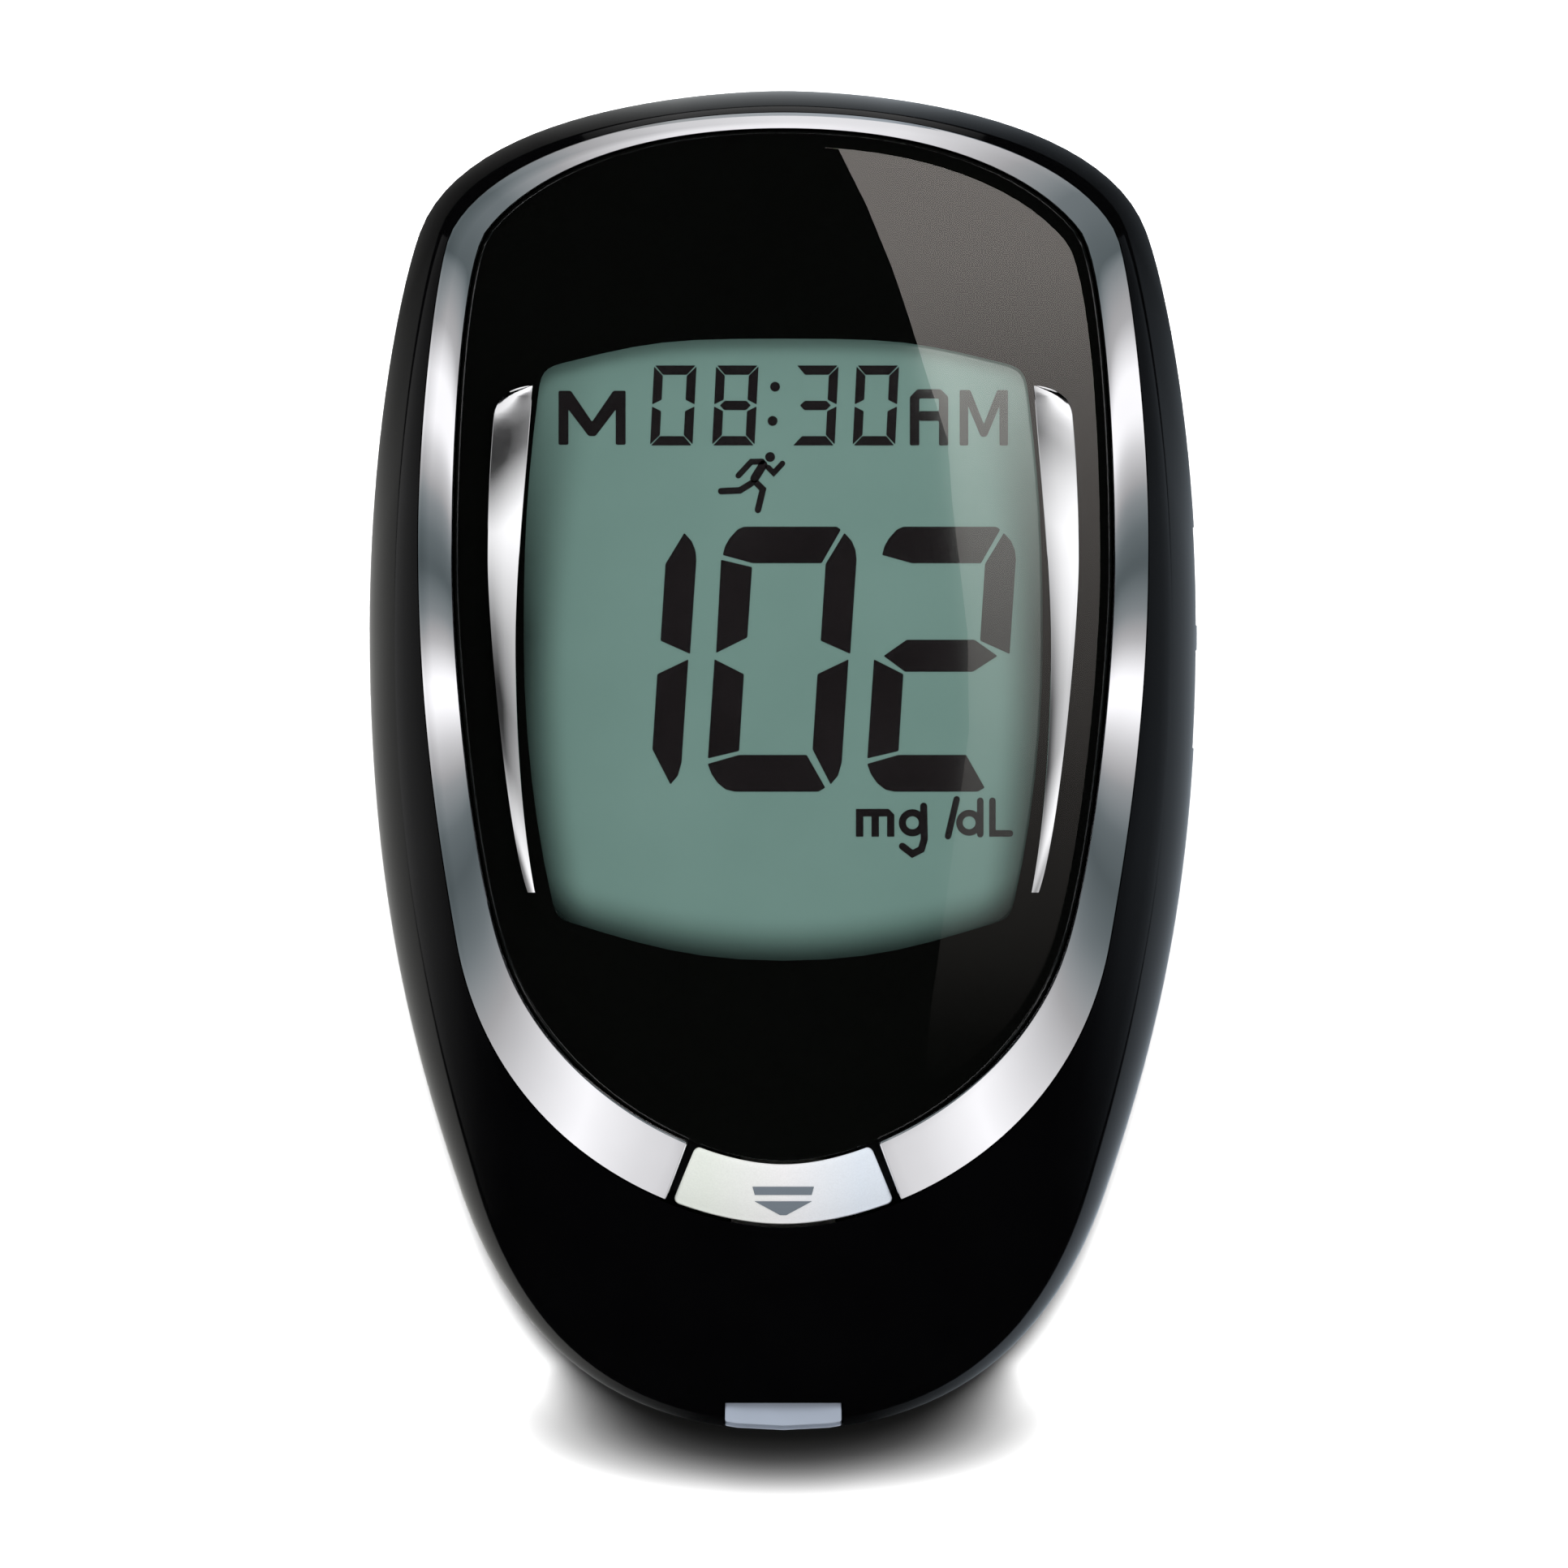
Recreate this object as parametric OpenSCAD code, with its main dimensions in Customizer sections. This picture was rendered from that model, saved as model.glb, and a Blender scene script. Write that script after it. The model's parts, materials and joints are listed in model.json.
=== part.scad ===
// Blood glucose meter: it lies on its back, display up.
// X runs across the meter, Y along it with the strip port at the low end, Z through it.

/* [Body] */
// Width across the widest part of the case
body_w = 54; // [52:0.5:56]
// Length from the top of the case to the strip port
body_l = 87.4; // [86:0.2:90]
// Height of the crown of the window above the back
body_t = 17.5; // [17.3:0.1:18.5]
// Height of the seam between the two shells
seam_z = 7; // [6.9:0.05:7.1]
// Wall thickness of both shells
wall = 1.5; // [1.3:0.1:1.6]
// Width of the curved border of the back
back_round = 4.6; // [3.6:0.2:5]
// Straight pieces in each of the four curves of half an outline
curve_steps = 12; // [8:1:14]

/* [Eject button] */
// How far the eject button travels
press_travel = 1.2; // [0.8:0.1:1.2]
// Strip travel for each millimetre of button travel
eject_ratio = 2; // [1.5:0.1:2]
// Half the width of the button along the window
button_in_x = 5.7; // [5:0.1:5.8]
// Half the width of the button along the outer edge
button_out_x = 7.2; // [6.4:0.1:7.3]

/* [Strip port] */
// Width of the slot for the test strip
strip_w = 6.4; // [5.6:0.1:6.6]
// Height of the slot for the test strip
strip_h = 0.8; // [0.7:0.05:0.9]
// Width of the grey mouth of the port
port_w = 7.6; // [7.4:0.1:8]

/* [Side keys] */
// Length of each key along the seam
key_l = 6.2; // [5:0.1:6.4]
// Height of each key
key_h = 2.7; // [2:0.1:2.8]
// How far each key travels
key_travel = 0.4; // [0.2:0.05:0.4]

/* [Battery] */
// Diameter of the coin cell
cell_d = 20; // [19:0.1:20]
// Thickness of the coin cell
cell_h = 3.2; // [2.5:0.1:3.2]
// Width of the battery door
door_w = 24; // [23:0.5:25]

/* [Hidden] */

eps = 0.01;
gloss_black = "#101113";
chrome = "#c8cbd0";
lcd_green = "#68857c";
board_green = "#1f5c3a";
gold = "#c9a24a";
dark_plastic = "#232427";

// Half outlines, from the top centre to the bottom centre: x, y, heading in degrees,
// and the lengths of the curve handles before and after the point.
body_path = [[0, 43.7, 0, 0, 5], [23.7, 34.5, -70, 8.5, 4], [27, 8.6, -90, 12, 16],
  [21, -28.2, -109, 11, 8.5], [0, -43.7, -180, 12.5, 0]];
ring_outer_path = [[0, 42.2, 0, 0, 10], [21.6, 34.5, -61, 5.5, 2],
  [23.8, 14.2, -90, 7.5, 11], [21.3, -11.8, -100, 6.5, 13.5], [0, -30.3, -180, 7, 0]];
ring_inner_path = [[0, 41.1, 0, 0, 11.5], [19.3, 34.4, -53, 3.5, 2],
  [21.5, 12.6, -90, 11.5, 5.5], [18, -13.2, -111, 6.5, 8.5], [0, -26.2, -180, 6, 0]];
display_path = [[0, 27.4, 0, 0, 7.5], [14.4, 25.8, -14, 6, 1.2], [15.9, 23.9, -83, 1.2, 6],
  [16.85, 7.8, -90, 7, 6], [15, -9.1, -103, 5, 0.8], [13.9, -10.5, -163, 0.8, 5],
  [0, -13, -180, 6, 0]];
// Edges of the right-hand crescent, each from its top to its tip
crescent_outer = [[16.3, 24.4, -6, 0, 1], [18.83, 22.4, -85, 1.6, 3],
  [19.25, 13, -90, 3, 4], [16.62, -8.6, -110, 4, 0]];
crescent_inner = [[16.3, 24.4, -86, 0, 5], [17.4, 7.4, -90, 5, 5], [16.12, -8.75, -101, 5, 0]];

// Window
window_bow_x = 0.0016;
window_bow_y = 0.0013;
window_mid_y = 5;
window_back_z = 14.55;
window_gap = 0.12;
bevel_w = 0.65;
bevel_h = 0.3;
inlay_z = 15.9;
inlay_proud = 0.08;
mask_z = 14.4;
adhesive_z = 14.3;

// Trim ring and the ledge it sits on
ring_drop_in = 0.45;
ring_drop_out = 1.9;
ring_gap = 0.04;
ring_bulge = 0.28;
ring_in_x = 6.2;
ring_out_x = 7.65;
seat_z = 13;
ledge_h = 1.2;
ledge_in = 0.5;
button_gap = 0.15;
ring_bulge_at = [0.2, 0.5, 0.8];
ring_steps = 100;
button_steps = 12;
well_angle = 14;
dome_steps = 8;
dome_end = 72;
inner_steps = 5;
back_steps = 6;
floor_h = 1.6;
seam_gap = 0.08;

// Board and what stands on it
board_z = 4.9;
board_h = 1;
board_top = board_z + board_h;
board_inset = 2.6;
board_low_y = -37.9;
board_high_y = 36;
buzzer_at = [0, -21.5];

// Display stack, from its top down
glass_x = 17.9;
glass_corner = [2.4, 4.4];
glass_low_y = -15.4;
glass_high_y = 28.8;
film_h = 0.15;
glass_h = 0.55;
stack_top = 13.4;
front_glass_z = stack_top - film_h - glass_h;
rear_glass_z = front_glass_z - glass_h;
reflector_z = rear_glass_z - film_h;
rear_low_y = -13.4;
rear_high_y = 25.8;
connector_x = 15;

// Frame under the window
frame_low = 10.5;
flange_h = 1.1;
core_inset = 0.65;
post_r = 1.8;
post_at = [[20.8, 24], [-20.8, 24], [20.6, -10], [-20.6, -10]];

// Case screws
screw_at = [[18.5, 31.5], [-18.5, 31.5], [12.5, -31], [-12.5, -31]];
back_boss_r = 2.6;
top_boss_r = 2.4;
boss_gap_z = 7.2;
head_r = 1.9;
head_h = 1.2;
head_seat = 3;
shank_r = 1;

// Strip port and ejector
slot_z = 7.3;
slot_low_y = -32.3;
port_low_z = 6;
port_high_z = 9.4;
port_in_y = -41.9;
ramp_y = -29.4;
ramp_l = press_travel * eject_ratio;
ramp_top = 11.5;
ramp_gap = 0.06;
slider_end_y = -24.6;
slider_x = 2.6;
rail_x = 3.4;
rail_w = 0.6;
rail_end_y = -22.8;
contact_pitch = 1.15;
arm_x = 6;
arm_y = -25.6;
spring_x = 4.9;
spring_z = 8.75;
spring_r = 0.9;
wire_r = 0.15;
spring_turns = 6;
turn_steps = 10;
wire_sides = 6;

// Side keys
key_up_y = 12;
key_down_y = 4;
key_mid_z = 7;
key_gap = 0.1;
key_back_x = 25.05;
switch_x = 20.6;
switch_l = 2.8;

// Battery
cell_y = 6;
cell_z = 1.5;
door_z = 0.2;
door_h = 1.2;
door_low_y = -7.2;
hinge_y = 20;
hinge_z = 2;
barrel_r = 1.8;
pin_r = 0.7;
pin_fit = 0.05;
door_gap = 0.2;

// Label on the back
label_x = 13;
label_low_y = -27;
label_high_y = -13;
label_recess = 0.15;

// A point of one cubic curve between two path points, and of a whole half path
function curve(a, b, t) = let (s = 1 - t,
    p0 = [a[0], a[1]], p3 = [b[0], b[1]],
    p1 = p0 + a[4] * [cos(a[2]), sin(a[2])],
    p2 = p3 - b[3] * [cos(b[2]), sin(b[2])])
  s * s * s * p0 + 3 * s * s * t * p1 + 3 * s * t * t * p2 + t * t * t * p3;
function along(path, u) = let (k = min(floor(u), len(path) - 2))
  curve(path[k], path[k + 1], u - k);
function fit(p) = [p[0] * body_w / 54, p[1] * body_l / 87.4];

// Angle of a point clockwise from +Y about the middle of the display
function bearing(p) = atan2(p[0], p[1] - window_mid_y);
function u_at(path, angle, low, high, n = 24) = let (mid = (low + high) / 2)
  n == 0 ? mid
  : bearing(along(path, mid)) < angle ? u_at(path, angle, mid, high, n - 1)
  : u_at(path, angle, low, mid, n - 1);
function at_angle(path, angle) = let (
    p = fit(along(path, u_at(path, min(angle, 360 - angle), 0, len(path) - 1))))
  [angle <= 180 ? p[0] : -p[0], p[1]];

// Angles at which every outline of the case is cut, and the outlines there
half_n = 4 * curve_steps;
angles = [for (i = [0 : 2 * half_n - 1])
  let (a = bearing(along(body_path, min(i, 2 * half_n - i) / curve_steps)))
  i <= half_n ? a : 360 - a];
function outline(path) = [for (a = angles) at_angle(path, a)];
function grown(points, d) = let (n = len(points)) [for (i = [0 : n - 1])
  let (t = points[(i + 1) % n] - points[(i + n - 1) % n])
  points[i] + d * [-t[1], t[0]] / norm(t)];
function closed_path(path, steps) = let (n = (len(path) - 1) * steps)
  [for (i = [0 : 2 * n - 1]) let (p = fit(along(path, min(i, 2 * n - i) / steps)))
    [i <= n ? p[0] : -p[0], p[1]]];
function lift(p, z) = [p[0], p[1], z];
function mix(a, b, t) = a * (1 - t) + b * t;

body_line = outline(body_path);
ring_outer = outline(ring_outer_path);
ring_inner = outline(ring_inner_path);
display_line = closed_path(display_path, 6);

// Height of the bowed window face
function face_z(p) = body_t - window_bow_x * p[0] * p[0]
  - window_bow_y * (p[1] - window_mid_y) * (p[1] - window_mid_y);

// A band that follows sections, each a loop of points from its outer foot up and round
module band(sections, ring = true) {
  n = len(sections);
  k = len(sections[0]);
  last = ring ? n - 1 : n - 2;
  quads = [for (j = [0 : last], m = [0 : k - 1])
    let (j2 = (j + 1) % n, m2 = (m + 1) % k)
    each [[j * k + m, j2 * k + m, j2 * k + m2], [j * k + m, j2 * k + m2, j * k + m2]]];
  caps = ring ? [] : [[for (m = [0 : k - 1]) m], [for (m = [k - 1 : -1 : 0]) (n - 1) * k + m]];
  polyhedron([for (s = sections, p = s) p], concat(quads, caps));
}

// A solid skinned over level outlines, closed by a flat face or by a point at its end
module skin(rings, tip = undef) {
  n = len(rings[0]);
  m = len(rings);
  quads = [for (k = [0 : m - 2], i = [0 : n - 1]) let (a = k * n, i2 = (i + 1) % n)
    each [[a + i, a + i2, a + n + i2], [a + i, a + n + i2, a + n + i]]];
  foot = [[for (i = [n - 1 : -1 : 0]) i]];
  top = is_undef(tip) ? [[for (i = [0 : n - 1]) (m - 1) * n + i]]
    : [for (i = [0 : n - 1]) [(m - 1) * n + i, (m - 1) * n + (i + 1) % n, m * n]];
  points = [for (r = rings, p = r) p];
  polyhedron(is_undef(tip) ? points : concat(points, [tip]), concat(quads, foot, top));
}

module block(x, y, z) {
  translate([x[0], y[0], z[0]]) cube([x[1] - x[0], y[1] - y[0], z[1] - z[0]]);
}

module slab(points, low, high) {
  translate([0, 0, low]) linear_extrude(high - low) polygon(points);
}

module rod(p, r, low, high) {
  translate([p[0], p[1], low]) cylinder(h = high - low, r = r, $fn = 40);
}

// An outline in the Y-Z plane, extruded across the meter
module across(points, half) {
  translate([-half, 0, 0]) rotate([90, 0, 90]) linear_extrude(2 * half) polygon(points);
}

// Height of the chrome, and of the edge of the case beside it
function ring_top(p, drop) = face_z(p) - drop;
function rim_top(p) = ring_top(p, ring_drop_out) - 0.12;

// Shells

module top_shell() {
  inside = grown(body_line, -wall);
  rim = grown(ring_outer, ring_gap);
  ledge = grown(ring_inner, -ledge_in);
  full = 1 - cos(dome_end);
  sections = [for (i = [0 : len(body_line) - 1])
    let (o = body_line[i], q = inside[i], r = rim[i], l = ledge[i], h = rim_top(r) - seam_z,
      m = mix(q, r, 0.7), g = seat_z - ledge_h)
    concat(
      [for (k = [0 : dome_steps]) let (t = dome_end * k / dome_steps)
        lift(mix(o, r, (1 - cos(t)) / full), seam_z + h * sin(t) / sin(dome_end))],
      [lift(r, seat_z), lift(l, seat_z), lift(l, g)],
      [for (k = [0 : inner_steps]) let (t = 90 - 90 * k / inner_steps)
        lift(mix(q, m, 1 - cos(t)), seam_z + (g - seam_z) * sin(t))])];
  band(sections);
}

// Plan of the opening that the eject button works in
module button_well() {
  turns = [180 - well_angle : 2 : 180 + well_angle];
  outer = [for (a = turns) at_angle(ring_outer_path, a) - [0, button_gap]];
  inner = [for (a = turns) at_angle(ring_inner_path, 360 - a) + [0, 1]];
  slab(concat(outer, inner), seat_z - ledge_h - 1, body_t);
}

module key_cuts() {
  for (y = [key_up_y, key_down_y])
    block([key_back_x - 0.5, body_w], [y - key_l / 2 - key_gap, y + key_l / 2 + key_gap],
      [key_mid_z - key_h / 2 - key_gap, key_mid_z + key_h / 2 + key_gap]);
}

module port_cuts() {
  half = port_w / 2 + key_gap;
  block([-half, half], [-body_l, port_in_y], [port_low_z - 0.05, body_t]);
  block([-half, half], [-body_l / 2 + 0.5, board_low_y + 0.4], [port_low_z - 0.05, port_high_z + 0.1]);
}

module top_case() {
  color(gloss_black) difference() {
    union() {
      top_shell();
      for (p = screw_at)
        rod(p, top_boss_r, boss_gap_z, seat_z - ledge_h + 0.2);
    }
    button_well();
    key_cuts();
    port_cuts();
    for (p = screw_at)
      rod(p, shank_r, boss_gap_z - 1, 11);
  }
}

module back_shell() {
  inner_h = seam_z - floor_h;
  outer_rings = [for (k = [0 : back_steps]) let (t = 90 - 90 * k / back_steps)
    [for (p = grown(body_line, -back_round * (1 - cos(t))))
      lift(p, (seam_z - seam_gap) * (1 - sin(t)))]];
  inner_rings = [for (k = [0 : inner_steps]) let (t = 90 * k / inner_steps)
    [for (p = grown(body_line, -wall - (back_round - 1) * (1 - cos(t))))
      lift(p, seam_z - seam_gap - (inner_h - seam_gap) * sin(t))]];
  skin(concat(outer_rings, inner_rings));
}

module back_case() {
  lug_x = door_w / 2 + door_gap;
  color(gloss_black) difference() {
    union() {
      back_shell();
      for (p = screw_at)
        rod(p, back_boss_r, floor_h - 0.3, seam_z - seam_gap);
      for (s = [-1, 1])
        block(s > 0 ? [lug_x, lug_x + 1.8] : [-lug_x - 1.8, -lug_x],
          [hinge_y - barrel_r, hinge_y + barrel_r], [floor_h - 0.4, hinge_z + 1.6]);
    }
    for (p = screw_at) {
      rod(p, head_r + 0.1, -1, head_seat);
      rod(p, shank_r + 0.1, -1, seam_z + 1);
    }
    block([-lug_x, lug_x], [door_low_y - door_gap, hinge_y + barrel_r + 0.15], [-1, floor_h + 1]);
    translate([-lug_x - 1.3, hinge_y, hinge_z]) rotate([0, 90, 0])
      cylinder(h = 2 * lug_x + 2.6, r = pin_r + pin_fit, $fn = 32);
    // Thumb scoop at the free end of the battery door
    translate([0, door_low_y - 1, -11.2]) sphere(r = 12, $fn = 64);
    block([-label_x - 0.1, label_x + 0.1], [label_low_y - 0.1, label_high_y + 0.1], [-1, label_recess]);
    key_cuts();
    port_cuts();
  }
}

// Trim ring and eject button share one section
function ring_sections(end_in, end_out, grow_in, grow_out, drop, bulge, foot, steps, turn) =
  [for (j = [0 : steps]) let (s = 2 * j / steps - 1,
      a = fit_side(ring_inner_path, end_in, s, turn) + [0, grow_in],
      b = fit_side(ring_outer_path, end_out, s, turn) + [0, grow_out])
    concat([lift(b, foot), lift(b, ring_top(b, ring_drop_out) - drop)],
      [for (t = ring_bulge_at) lift(mix(b, a, t),
        mix(ring_top(b, ring_drop_out), ring_top(a, ring_drop_in), t) - drop
        + 4 * bulge * t * (1 - t))],
      [lift(a, ring_top(a, ring_drop_in) - drop), lift(a, foot)])];
// A point of a ring path, s running from -1 to 1 between the ends; turn is the middle
function fit_side(path, end, s, turn) = at_angle(path, (turn + s * end + 720) % 360);
function end_angle(path, x) = let (u = u_at_x(path, x, 3, 4)) 180 - bearing(along(path, u));
function u_at_x(path, x, low, high, n = 24) = let (mid = (low + high) / 2)
  n == 0 ? mid
  : along(path, mid)[0] > x ? u_at_x(path, x, mid, high, n - 1)
  : u_at_x(path, x, low, mid, n - 1);

module trim_ring() {
  color(chrome) band(ring_sections(180 - end_angle(ring_inner_path, ring_in_x),
    180 - end_angle(ring_outer_path, ring_out_x), 0, 0, 0, ring_bulge, seat_z, ring_steps, 0), false);
}

module eject_button() {
  stem_low_y = ramp_y;
  stem_high_y = ramp_y + ramp_l;
  color("#eceaf0") {
    band(ring_sections(end_angle(ring_inner_path, button_in_x),
      end_angle(ring_outer_path, button_out_x), -0.1, 0.1, 0.1, ring_bulge + 0.1, seat_z,
      button_steps, 180), false);
    across([[stem_low_y, seat_z + 0.2], [stem_low_y, ramp_top + ramp_gap],
      [stem_high_y, ramp_top + ramp_gap - press_travel], [stem_high_y, seat_z + 0.2]],
      slider_x - 0.4);
  }
}

// Window
module window_blank() {
  foot = grown(ring_inner, -window_gap);
  low_y = -18;
  face = let (g = [for (p = ring_inner) bevel_w + 0.75 * max(0, min(1, (low_y - p[1]) / 7))],
      unit = grown(ring_inner, -1))
    [for (i = [0 : len(ring_inner) - 1]) mix(ring_inner[i], unit[i], g[i])];
  rings = concat(
    [[for (p = foot) lift(p, window_back_z)], [for (p = foot) lift(p, face_z(p) - bevel_h - 0.35)],
      [for (i = [0 : len(foot) - 1]) let (p = mix(foot[i], face[i], 0.6))
        lift(p, face_z(p) - bevel_h * 0.45)]],
    [for (s = [1, 0.8, 0.6, 0.4, 0.2])
      [for (p = face) let (q = [0, window_mid_y] * (1 - s) + p * s) lift(q, face_z(q))]]);
  skin(rings, [0, window_mid_y, body_t]);
}

module crescent(side) {
  steps = 7;
  right = concat(
    [for (u = [0 : 1 / steps : 2.999]) fit(along(crescent_outer, u))],
    [for (u = [2 : -1 / steps : 0.001]) fit(along(crescent_inner, u))]);
  polygon([for (p = right) [side * p[0], p[1]]]);
}

module display_window() {
  color([0.05, 0.05, 0.06, 0.6]) difference() {
    window_blank();
    for (side = [-1, 1])
      translate([0, 0, inlay_z]) linear_extrude(3) crescent(side);
  }
}

module accent(side) {
  color(chrome) intersection() {
    translate([0, 0, inlay_proud]) window_blank();
    translate([0, 0, inlay_z]) linear_extrude(3) crescent(side);
  }
}

module accent_left() accent(-1);
module accent_right() accent(1);

module window_mask() {
  color("#08090a") difference() {
    slab(grown(ring_inner, -window_gap), mask_z, window_back_z);
    slab(display_line, mask_z - 1, window_back_z + 1);
  }
}

module window_adhesive() {
  color("#3a3c40") difference() {
    slab(grown(ring_inner, -core_inset - 0.1), adhesive_z, mask_z);
    slab(grown(display_line, 0.8), adhesive_z - 1, mask_z + 1);
  }
}

module display_frame() {
  color(dark_plastic) difference() {
    union() {
      slab(grown(ring_inner, -core_inset), frame_low, adhesive_z);
      slab(grown(ring_outer, -0.8), frame_low, frame_low + flange_h);
      for (p = post_at)
        rod(p, post_r, board_top, frame_low + 0.2);
    }
    slab(grown(display_line, 0.3), frame_low - 1, body_t);
    block([-glass_x - 0.2, glass_x + 0.2], [glass_low_y - 0.2, glass_high_y + 0.2],
      [frame_low - 1, stack_top]);
    for (p = screw_at)
      rod(p, top_boss_r + 0.2, frame_low - 1, seat_z - ledge_h + 0.4);
    for (p = post_at)
      rod(p, 0.8, board_top - 1, frame_low - 0.5);
    // Room for the ejector's ramp and the button's stem
    block([-slider_x - 0.2, slider_x + 0.2], [-body_l / 2, slider_end_y + 0.1],
      [frame_low - 1, frame_low + flange_h + 0.5]);
  }
}

// Display stack: each layer has its lower corners cut off to clear the ledge of the case
module film(x, low_y, high_y, z, h) {
  cut_x = x - glass_corner[0];
  cut_y = low_y + glass_corner[1];
  slab([[-cut_x, low_y], [cut_x, low_y], [x, cut_y], [x, high_y], [-x, high_y], [-x, cut_y]],
    z, z + h);
}

module lcd_polariser() {
  color("#7d968e") film(glass_x - 0.5, glass_low_y + 1.2, glass_high_y - 0.8, stack_top - film_h, film_h);
}

module lcd_front_glass() {
  color(lcd_green) film(glass_x, glass_low_y, glass_high_y, front_glass_z, glass_h);
}

module lcd_rear_glass() {
  color(lcd_green) film(glass_x, rear_low_y, rear_high_y, rear_glass_z, glass_h);
}

module lcd_reflector() {
  color("#b9c4bd") film(glass_x - 0.4, rear_low_y + 0.4, rear_high_y - 0.4, reflector_z, film_h);
}

module lcd_carrier() {
  color("#d8dad6") difference() {
    block([-16.5, 16.5], [-12, 25.4], [board_top, reflector_z]);
    block([-15.3, 15.3], [-10.8, 24.2], [board_top - 1, reflector_z + 1]);
  }
}

module connector(low_y) {
  color("#c98f92")
    block([-connector_x, connector_x], [low_y, low_y + 1.6], [board_top, front_glass_z]);
}

module connector_upper() connector(26.3);
module connector_lower() connector(-15.1);

// Board
module main_board() {
  color(board_green) difference() {
    intersection() {
      slab(grown(body_line, -board_inset), board_z, board_top);
      block([-body_w, body_w], [board_low_y, board_high_y], [0, body_t]);
    }
    for (p = screw_at)
      rod(p, back_boss_r + 0.3, 0, body_t);
    for (p = post_at)
      rod(p, 0.85, 0, body_t);
    block([switch_x + switch_l, body_w], [key_down_y - 4.2, key_up_y + 4.2], [0, body_t]);
  }
}

module chip(at, size, h, pins) {
  pitch = size[1] / pins;
  translate([at[0], at[1], board_top]) {
    translate([-size[0] / 2, -size[1] / 2, 0.1]) cube([size[0], size[1], h]);
    for (i = [0 : pins - 1])
      translate([-size[0] / 2 - 0.7, (i + 0.5) * pitch - size[1] / 2 - pitch / 5, 0])
        cube([size[0] + 1.4, pitch * 0.4, 0.3]);
  }
}

module processor_chip() color(dark_plastic) chip([-6, 13], [9, 9], 1.4, 8);
module signal_chip() color(dark_plastic) chip([8, -2], [4, 5], 1.2, 4);

module timing_crystal() {
  color("silver") translate([4, 18, board_top + 1.05]) rotate([0, 90, 0])
    cylinder(h = 6, r = 1.05, $fn = 32);
}

module chip_capacitors() {
  color("#b58a5c") for (i = [0 : 2], j = [0 : 1])
    translate([3 + 3 * i, 8 + 3 * j, board_top]) cube([1.6, 0.8, 0.8]);
}

module chip_resistors() {
  color("#1b1b1e") for (i = [0 : 3], j = [0 : 1])
    translate([-12 + 3 * i, -6 + 2.5 * j, board_top]) cube([1.6, 0.8, 0.5]);
}

module piezo_buzzer() {
  color("#1a1a1c") difference() {
    rod(buzzer_at, 5, board_z - 2, board_z);
    rod(buzzer_at, 0.8, board_z - 3, board_z - 1);
  }
}

// Strip port
module strip_port_guide() {
  half = port_w / 2;
  set_back = grown(body_line, -0.3);
  color("#aeb6c2") difference() {
    union() {
      intersection() {
        slab(body_line, port_low_z, slot_z);
        block([-half, half], [-body_l, board_low_y], [0, body_t]);
      }
      intersection() {
        slab(set_back, slot_z - eps, port_high_z);
        block([-half, half], [-body_l, board_low_y], [0, body_t]);
      }
    }
    block([-strip_w / 2, strip_w / 2], [-body_l, 0], [slot_z, slot_z + strip_h]);
  }
}

module strip_connector() {
  color("#e4e4de") {
    difference() {
      block([-arm_x - 0.2, arm_x + 0.2], [board_low_y, slot_low_y], [board_top, 10]);
      block([-strip_w / 2, strip_w / 2], [-body_l, 0], [slot_z, slot_z + strip_h]);
    }
    block([-rail_x, rail_x], [slot_low_y, rail_end_y], [board_top, slot_z - 0.05]);
    for (s = [-rail_x, rail_x - rail_w])
      block([s, s + rail_w], [slot_low_y + 1, rail_end_y], [slot_z - 0.1, slot_z + 0.6]);
    translate([spring_x, slot_low_y, spring_z]) rotate([-90, 0, 0])
      cylinder(h = 0.8, r = spring_r - wire_r - 0.15, $fn = 24);
  }
}

module strip_contacts() {
  color(gold) for (i = [-2 : 2]) {
    x = i * contact_pitch;
    block([x - 0.25, x + 0.25], [board_low_y + 1, slot_low_y], [slot_z, slot_z + 0.15]);
  }
}

module strip_ejector() {
  low = slot_z + 0.05;
  color("#d9d9d4") {
    across([[ramp_y, low], [ramp_y, ramp_top],
      [slider_end_y, ramp_top - (slider_end_y - ramp_y) / eject_ratio], [slider_end_y, low]],
      slider_x);
    block([-2.4, 2.4], [-33, ramp_y + 0.5], [slot_z + 0.2, slot_z + 0.75]);
    block([slider_x - 0.2, arm_x], [arm_y, slider_end_y], [slot_z + 0.7, 9.3]);
    translate([spring_x, arm_y, spring_z]) rotate([90, 0, 0])
      cylinder(h = 0.8, r = spring_r - wire_r - 0.15, $fn = 24);
  }
}

// Coil spring between the connector and the ejector's arm
module ejector_spring() {
  low = slot_low_y + wire_r;
  high = arm_y - wire_r;
  count = spring_turns * turn_steps;
  route = [for (i = [0 : count]) let (a = 360 * i / turn_steps)
    [spring_x + spring_r * cos(a), mix(low, high, i / count), spring_z + spring_r * sin(a)]];
  sections = [for (i = [0 : count]) let (a = 360 * i / turn_steps)
    [for (k = [0 : wire_sides - 1]) let (b = -360 * k / wire_sides)
      route[i] + wire_r * (cos(b) * [cos(a), 0, sin(a)] + sin(b) * [0, 1, 0])]];
  color("silver") band(sections, false);
}

// Side keys
module side_key(y) {
  half = key_l / 2;
  low = key_mid_z - key_h / 2;
  color("#2a2b2f") {
    intersection() {
      slab(grown(body_line, -0.15), low, low + key_h);
      block([key_back_x - 0.1, body_w], [y - half, y + half], [low, low + key_h]);
    }
    block([key_back_x - 0.6, key_back_x], [y - half - 0.5, y + half + 0.5],
      [low - 0.4, low + key_h + 0.4]);
    block([key_back_x - 0.8, key_back_x - 0.5], [y - 0.8, y + 0.8], [6.3, 7.3]);
  }
}

module side_key_up() side_key(key_up_y);
module side_key_down() side_key(key_down_y);

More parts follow.
